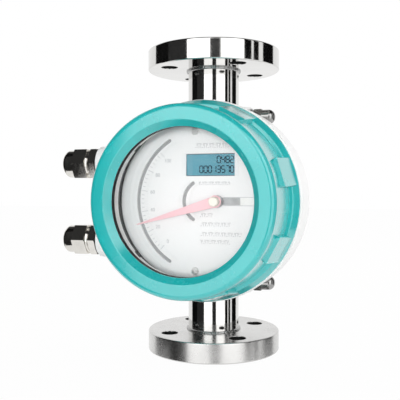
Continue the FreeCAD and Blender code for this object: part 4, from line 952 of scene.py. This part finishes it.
class FLOW_METER_OT_display(bpy.types.Operator):
    """Display module with its pane and digits"""
    bl_idname = "flow_meter.display"
    bl_label = "Display"

    SEGMENTS = {"0": "abcdef", "1": "bc", "2": "abged", "3": "abgcd", "4": "fgbc", "5": "afgcd", "6": "afgedc",
                "7": "abc", "8": "abcdefg", "9": "abcdfg"}
    upper_row: StringProperty(name="Upper row", description="Digits of the flow rate", default="0.482")
    lower_row: StringProperty(name="Lower row", description="Digits of the total", default="00013570")

    def execute(self, context):
        sizes = context.scene.flow_meter_sizes
        tints = context.scene.flow_meter_colours
        case = slab("display_case", rectangle(48, 24, 1.2, *DISPLAY_PLACE), 41.6, 48.3)
        combine(case, slab("recess", rectangle(43, 20, 0.4, *DISPLAY_PLACE), DISPLAY_FACE - 0.2, 49), "DIFFERENCE")
        finish_piece(place(case, DIAL), "base", "display_blue", slot_finish("display_blue"), "display_module")
        # The pane is lower than the window, so the dark case shows above and below it: partly the module's own case,
        # partly painted shade at the window's edges
        pane = slab("display_pane", rectangle(42.0, 17.0, 0.3, *DISPLAY_PLACE), DISPLAY_FACE - 0.2, DISPLAY_FACE)
        soften(pane, 0.06, 2)
        blue = finish("display pane", shade_of(tints.display, 1.25), (0.3, 0.4), 0.0, 25.0, 2000.0, 0.02,
                      Specular_IOR_Level=0.15)
        finish_piece(place(pane, DIAL), "base", "display_blue", blue)

        height = sizes.digit_height / MM
        half = height / 2
        bar = slab("bar", [(-half / 2 + 0.1, 0), (-half / 2 + 0.5, 0.42), (half / 2 - 0.5, 0.42),
                           (half / 2 - 0.1, 0), (half / 2 - 0.5, -0.42), (-half / 2 + 0.5, -0.42)], 0, 0.06)
        spots = []
        for words, y in ((self.upper_row, 4.2), (self.lower_row, -3.6)):
            x = DISPLAY_SIZE[0] / 2 - 2.9
            for sign in reversed(words):
                if sign == ".":
                    spots.append(shift(x + half / 2 + 0.6, y - half) @ Matrix.Scale(0.3, 4, (1, 0, 0)))
                    continue
                for segment in self.SEGMENTS[sign]:
                    spots.append(shift(x, y) @ self.segment_place(segment, half))
                x -= half + 1.0
        home = shift(*DISPLAY_PLACE, DISPLAY_FACE)
        digits = joined("display_digits", copies(bar, [home @ spot for spot in spots]))
        dark = finish("digit ink", ((0.012, 0.018, 0.03), (0.02, 0.028, 0.045)), (0.4, 0.5), 0.0, 60.0, 2000.0, 0.02,
                      Specular_IOR_Level=0.1)
        finish_piece(place(digits, DIAL), "base", "display_blue", dark)
        return {"FINISHED"}

    def segment_place(self, segment, half):
        """Place of one bar of a digit about the digit's centre."""
        if segment in "agd":
            return shift(0, {"a": half, "g": 0, "d": -half}[segment])
        side = half / 2 if segment in "bc" else -half / 2
        return shift(side, half / 2 if segment in "bf" else -half / 2) @ swing(90)


class FLOW_METER_OT_pointer(bpy.types.Operator):
    """Pointer with its hub and cap"""
    bl_idname = "flow_meter.pointer"
    bl_label = "Pointer"

    def execute(self, context):
        pivot = DIAL @ shift(PIVOT_X)
        hub = turn("turned_hub", [
            (1.02, 51), (5.0, 51, 0.4), (5.0, 54, 0.5), (3.4, 54, 0.3), (3.4, 56, 0.3), (4.6, 56, 0.3),
            (4.6, 57.2, 0.2), (1.02, 57.2)], 64)
        finish_piece(place(hub, pivot), "pointer", "bare_aluminium", slot_finish("bare_aluminium"), "pointer_hub")
        eye = [(5.0 * math.cos(math.radians(a)), 5.0 * math.sin(math.radians(a))) for a in range(-120, 121, 8)]
        blade = slab("needle", [(-70.0, -0.4), (-3.0, -4.3), *eye, (-3.0, 4.3), (-70.0, 0.4)], 57.2, 58)
        hole = turn("hole", [(0, 56), (1.02, 56), (1.02, 60), (0, 60)], 32)
        combine(blade, hole, "DIFFERENCE")
        soften(blade, 0.15, 2, 60)
        finish_piece(place(blade, pivot @ swing(POINTER_DEG)), "pointer", "pointer_red", slot_finish("pointer_red"),
                     "pointer")
        cap = turn("pointer_button", [
            (0, 61.1), (1.02, 61.1), (1.02, 58), (3.9, 58, 0.2), (3.9, 64, 1.2), (0, 64)], 64)
        finish_piece(place(cap, pivot), "pointer", "cream_plastic", slot_finish("cream_plastic"), "pointer_cap")
        return {"FINISHED"}


class FLOW_METER_OT_inside(bpy.types.Operator):
    """Finishes of the pieces inside, which keep the shape of their solids"""
    bl_idname = "flow_meter.inside"
    bl_label = "Inside pieces"

    def execute(self, context):
        for part in frame["record"]["subparts"]:
            node = frame["nodes"][part["node"]]
            if not node.hide_render:
                node.data.materials.clear()
                node.data.materials.append(slot_finish(part["material_slot"]))
        return {"FINISHED"}


class FLOW_METER_OT_stage(bpy.types.Operator):
    """Camera, floor, lamps and the dark cards that polished metal mirrors"""
    bl_idname = "flow_meter.stage"
    bl_label = "Stage"

    VIEW_DEG = 18.5
    LOOK_DOWN = 0.0179
    CAMERA = (162.325, -523.23, 142.52)

    def heading(self, degrees):
        """Direction from the object, in degrees to the right of the camera."""
        angle = math.radians(self.VIEW_DEG + degrees)
        return Vector((math.sin(angle), -math.cos(angle), 0))

    def softbox(self, name, degrees, distance, height, size, radiance, mirrored):
        """Lamp with a broad face, turned to the object; gloss mirrors it, or else it only lights."""
        lamp = bpy.data.lights.new(name, "AREA")
        lamp.shape = "RECTANGLE"
        lamp.size, lamp.size_y = size
        lamp.energy = radiance * math.pi * size[0] * size[1]
        holder = bpy.data.objects.new(name, lamp)
        bpy.context.collection.objects.link(holder)
        holder.location = self.heading(degrees) * distance + Vector((0, 0, height))
        aim = Vector((0, 0, MID_Z * MM)) - holder.location
        holder.rotation_euler = aim.to_track_quat("-Z", "Y").to_euler()
        holder.visible_camera = False
        holder.visible_glossy = mirrored
        holder.visible_diffuse = not mirrored

    def card(self, name, reach, first, last, low, high, coat):
        """Upright dark card round part of the object, seen only in reflections."""
        card = start_point(name)
        start = self.heading(first) * reach + Vector((0, 0, low))
        bpy.ops.transform.translate(value=start)
        bpy.ops.mesh.extrude_region_move(TRANSFORM_OT_translate={"value": (0, 0, high - low)})
        bpy.ops.mesh.select_all(action="SELECT")
        bpy.ops.mesh.spin(steps=16, angle=math.radians(first - last), center=(0, 0, 0), axis=(0, 0, 1))
        bpy.ops.object.mode_set(mode="OBJECT")
        card.data.materials.append(coat)
        card.visible_camera = False
        card.visible_diffuse = False
        card.visible_shadow = False
        card.visible_transmission = False

    def execute(self, context):
        scene = context.scene
        scene.view_settings.view_transform = "Standard"
        data = bpy.data.cameras.new("camera")
        data.lens = scene.flow_meter_sizes.lens
        data.sensor_width = 36
        data.clip_start = 0.01
        camera = bpy.data.objects.new("camera", data)
        scene.collection.objects.link(camera)
        camera.location = Vector(self.CAMERA) * MM
        camera.rotation_euler = (math.pi / 2 - self.LOOK_DOWN, 0, math.radians(self.VIEW_DEG))
        scene.camera = camera

        world = bpy.data.worlds.new("studio")
        scene.world = world
        world.use_nodes = True
        tree = world.node_tree
        path = add(tree, "LightPath")
        shown = add(tree, "Math", {0: path.outputs["Is Camera Ray"], 1: path.outputs["Is Transmission Ray"]},
                    operation="MAXIMUM")
        plain = add(tree, "MapRange", {"Value": shown.outputs[0], "To Min": 0.7, "To Max": 1.0})
        parts = add(tree, "SeparateXYZ", {"Vector": add(tree, "TexCoord").outputs["Generated"]})
        ceiling = add(tree, "MapRange", {"Value": parts.outputs["Z"], "From Min": 0.6, "From Max": 0.75,
                                         "To Min": 1.0, "To Max": 0.04})
        rear = add(tree, "MapRange", {"Value": parts.outputs["Y"], "From Min": 0.0, "From Max": 0.7,
                                      "To Min": 1.0, "To Max": 1.0})
        mirrored = add(tree, "Math", {0: ceiling.outputs[0], 1: rear.outputs[0]}, operation="MULTIPLY")
        level = add(tree, "Mix", {0: path.outputs["Is Glossy Ray"], 2: plain.outputs[0], 3: mirrored.outputs[0]})
        back = tree.nodes["Background"]
        tree.links.new(level.outputs[0], back.inputs["Strength"])
        back.inputs["Color"].default_value = (1, 1, 1, 1)

        take()
        bpy.ops.mesh.primitive_plane_add(size=8)
        floor = context.object
        floor.name = "floor"
        floor.data.materials.append(self.floor_finish())
        floor.visible_glossy = False

        black = self.card_finish("black card", 0.006)
        grey = self.card_finish("grey card", 0.035)
        self.card("left_card", 0.45, -114, -80, -0.12, 1.1, black)
        self.card("left_grey_card", 0.45, -80, -44, -0.24, 1.1, grey)
        self.card("middle_card", 1.3, -7.4, 9.5, -0.35, 0.6, grey)
        for step, (first, last) in enumerate(((51, 64.5), (69, 80), (90, 121))):
            self.card("right_card_" + str(step), 1.3, first, last, -0.35, 3.0, black)
        for side, degrees, width in (("left", -26.1, 0.96), ("right", 30.8, 0.92)):
            self.softbox(side + "_upper_softbox", degrees, 1.25, 0.72, (width, 1.1), 1.15, True)
            self.softbox(side + "_lower_softbox", degrees, 1.25, -0.1, (width, 0.54), 0.62, True)
        self.softbox("right_lamp", 105, 1.25, 0.4, (0.8, 1.0), 2.8, False)
        self.softbox("front_lamp", -7, 1.25, 0.18, (0.2, 0.2), 56.0, False)
        return {"FINISHED"}

    def card_finish(self, name, tone):
        """Dull coat of a card."""
        material = bpy.data.materials.new(name)
        material.use_nodes = True
        shader = material.node_tree.nodes["Principled BSDF"]
        shader.inputs["Base Color"].default_value = (tone, tone, tone, 1)
        shader.inputs["Roughness"].default_value = 0.9
        shader.inputs["Specular IOR Level"].default_value = 0.0
        return material

    def floor_finish(self):
        """White floor that glows to the camera and still takes the object's shadow."""
        material = bpy.data.materials.new("white floor")
        material.use_nodes = True
        tree = material.node_tree
        shader = tree.nodes["Principled BSDF"]
        shader.inputs["Base Color"].default_value = (0.8, 0.8, 0.8, 1)
        shader.inputs["Roughness"].default_value = 0.9
        shader.inputs["Specular IOR Level"].default_value = 0.0
        path = add(tree, "LightPath")
        glow = add(tree, "Emission", {"Color": (1, 1, 1, 1), "Strength": 1.0})
        share = add(tree, "Math", {0: path.outputs["Is Camera Ray"], 1: 0.975}, operation="MULTIPLY")
        mix = add(tree, "MixShader", {0: share.outputs[0], 1: shader.outputs[0], 2: glow.outputs[0]})
        tree.links.new(mix.outputs[0], tree.nodes["Material Output"].inputs["Surface"])
        return material


class FLOW_METER_PT_panel(bpy.types.Panel):
    """Lists the pieces in the order in which they are made"""
    bl_idname = "FLOW_METER_PT_panel"
    bl_label = "Flow meter"
    bl_space_type = "VIEW_3D"
    bl_region_type = "UI"
    bl_category = "Flow meter"

    def draw(self, context):
        for operator in OPERATORS:
            self.layout.operator(operator.bl_idname)
        for values in (context.scene.flow_meter_sizes, context.scene.flow_meter_colours):
            for key in values.bl_rna.properties.keys()[2:]:
                self.layout.prop(values, key)


OPERATORS = (
    FLOW_METER_OT_tube, FLOW_METER_OT_flanges, FLOW_METER_OT_housing, FLOW_METER_OT_clamp, FLOW_METER_OT_glands,
    FLOW_METER_OT_cover, FLOW_METER_OT_window, FLOW_METER_OT_dial, FLOW_METER_OT_display, FLOW_METER_OT_pointer,
    FLOW_METER_OT_inside, FLOW_METER_OT_stage,
)
CLASSES = (FlowMeterSizes, FlowMeterColours, *OPERATORS, FLOW_METER_PT_panel)


def register():
    """Registers the classes and puts the values on the scene."""
    for kind in CLASSES:
        bpy.utils.register_class(kind)
    bpy.types.Scene.flow_meter_sizes = PointerProperty(type=FlowMeterSizes)
    bpy.types.Scene.flow_meter_colours = PointerProperty(type=FlowMeterColours)


def unregister():
    """Takes the values and the classes away again."""
    del bpy.types.Scene.flow_meter_sizes
    del bpy.types.Scene.flow_meter_colours
    for kind in reversed(CLASSES):
        bpy.utils.unregister_class(kind)


def main():
    """Makes every piece in order."""
    register()
    for operator in OPERATORS:
        group, name = operator.bl_idname.split(".")
        getattr(getattr(bpy.ops, group), name)()
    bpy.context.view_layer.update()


if __name__ == "__main__":
    main()
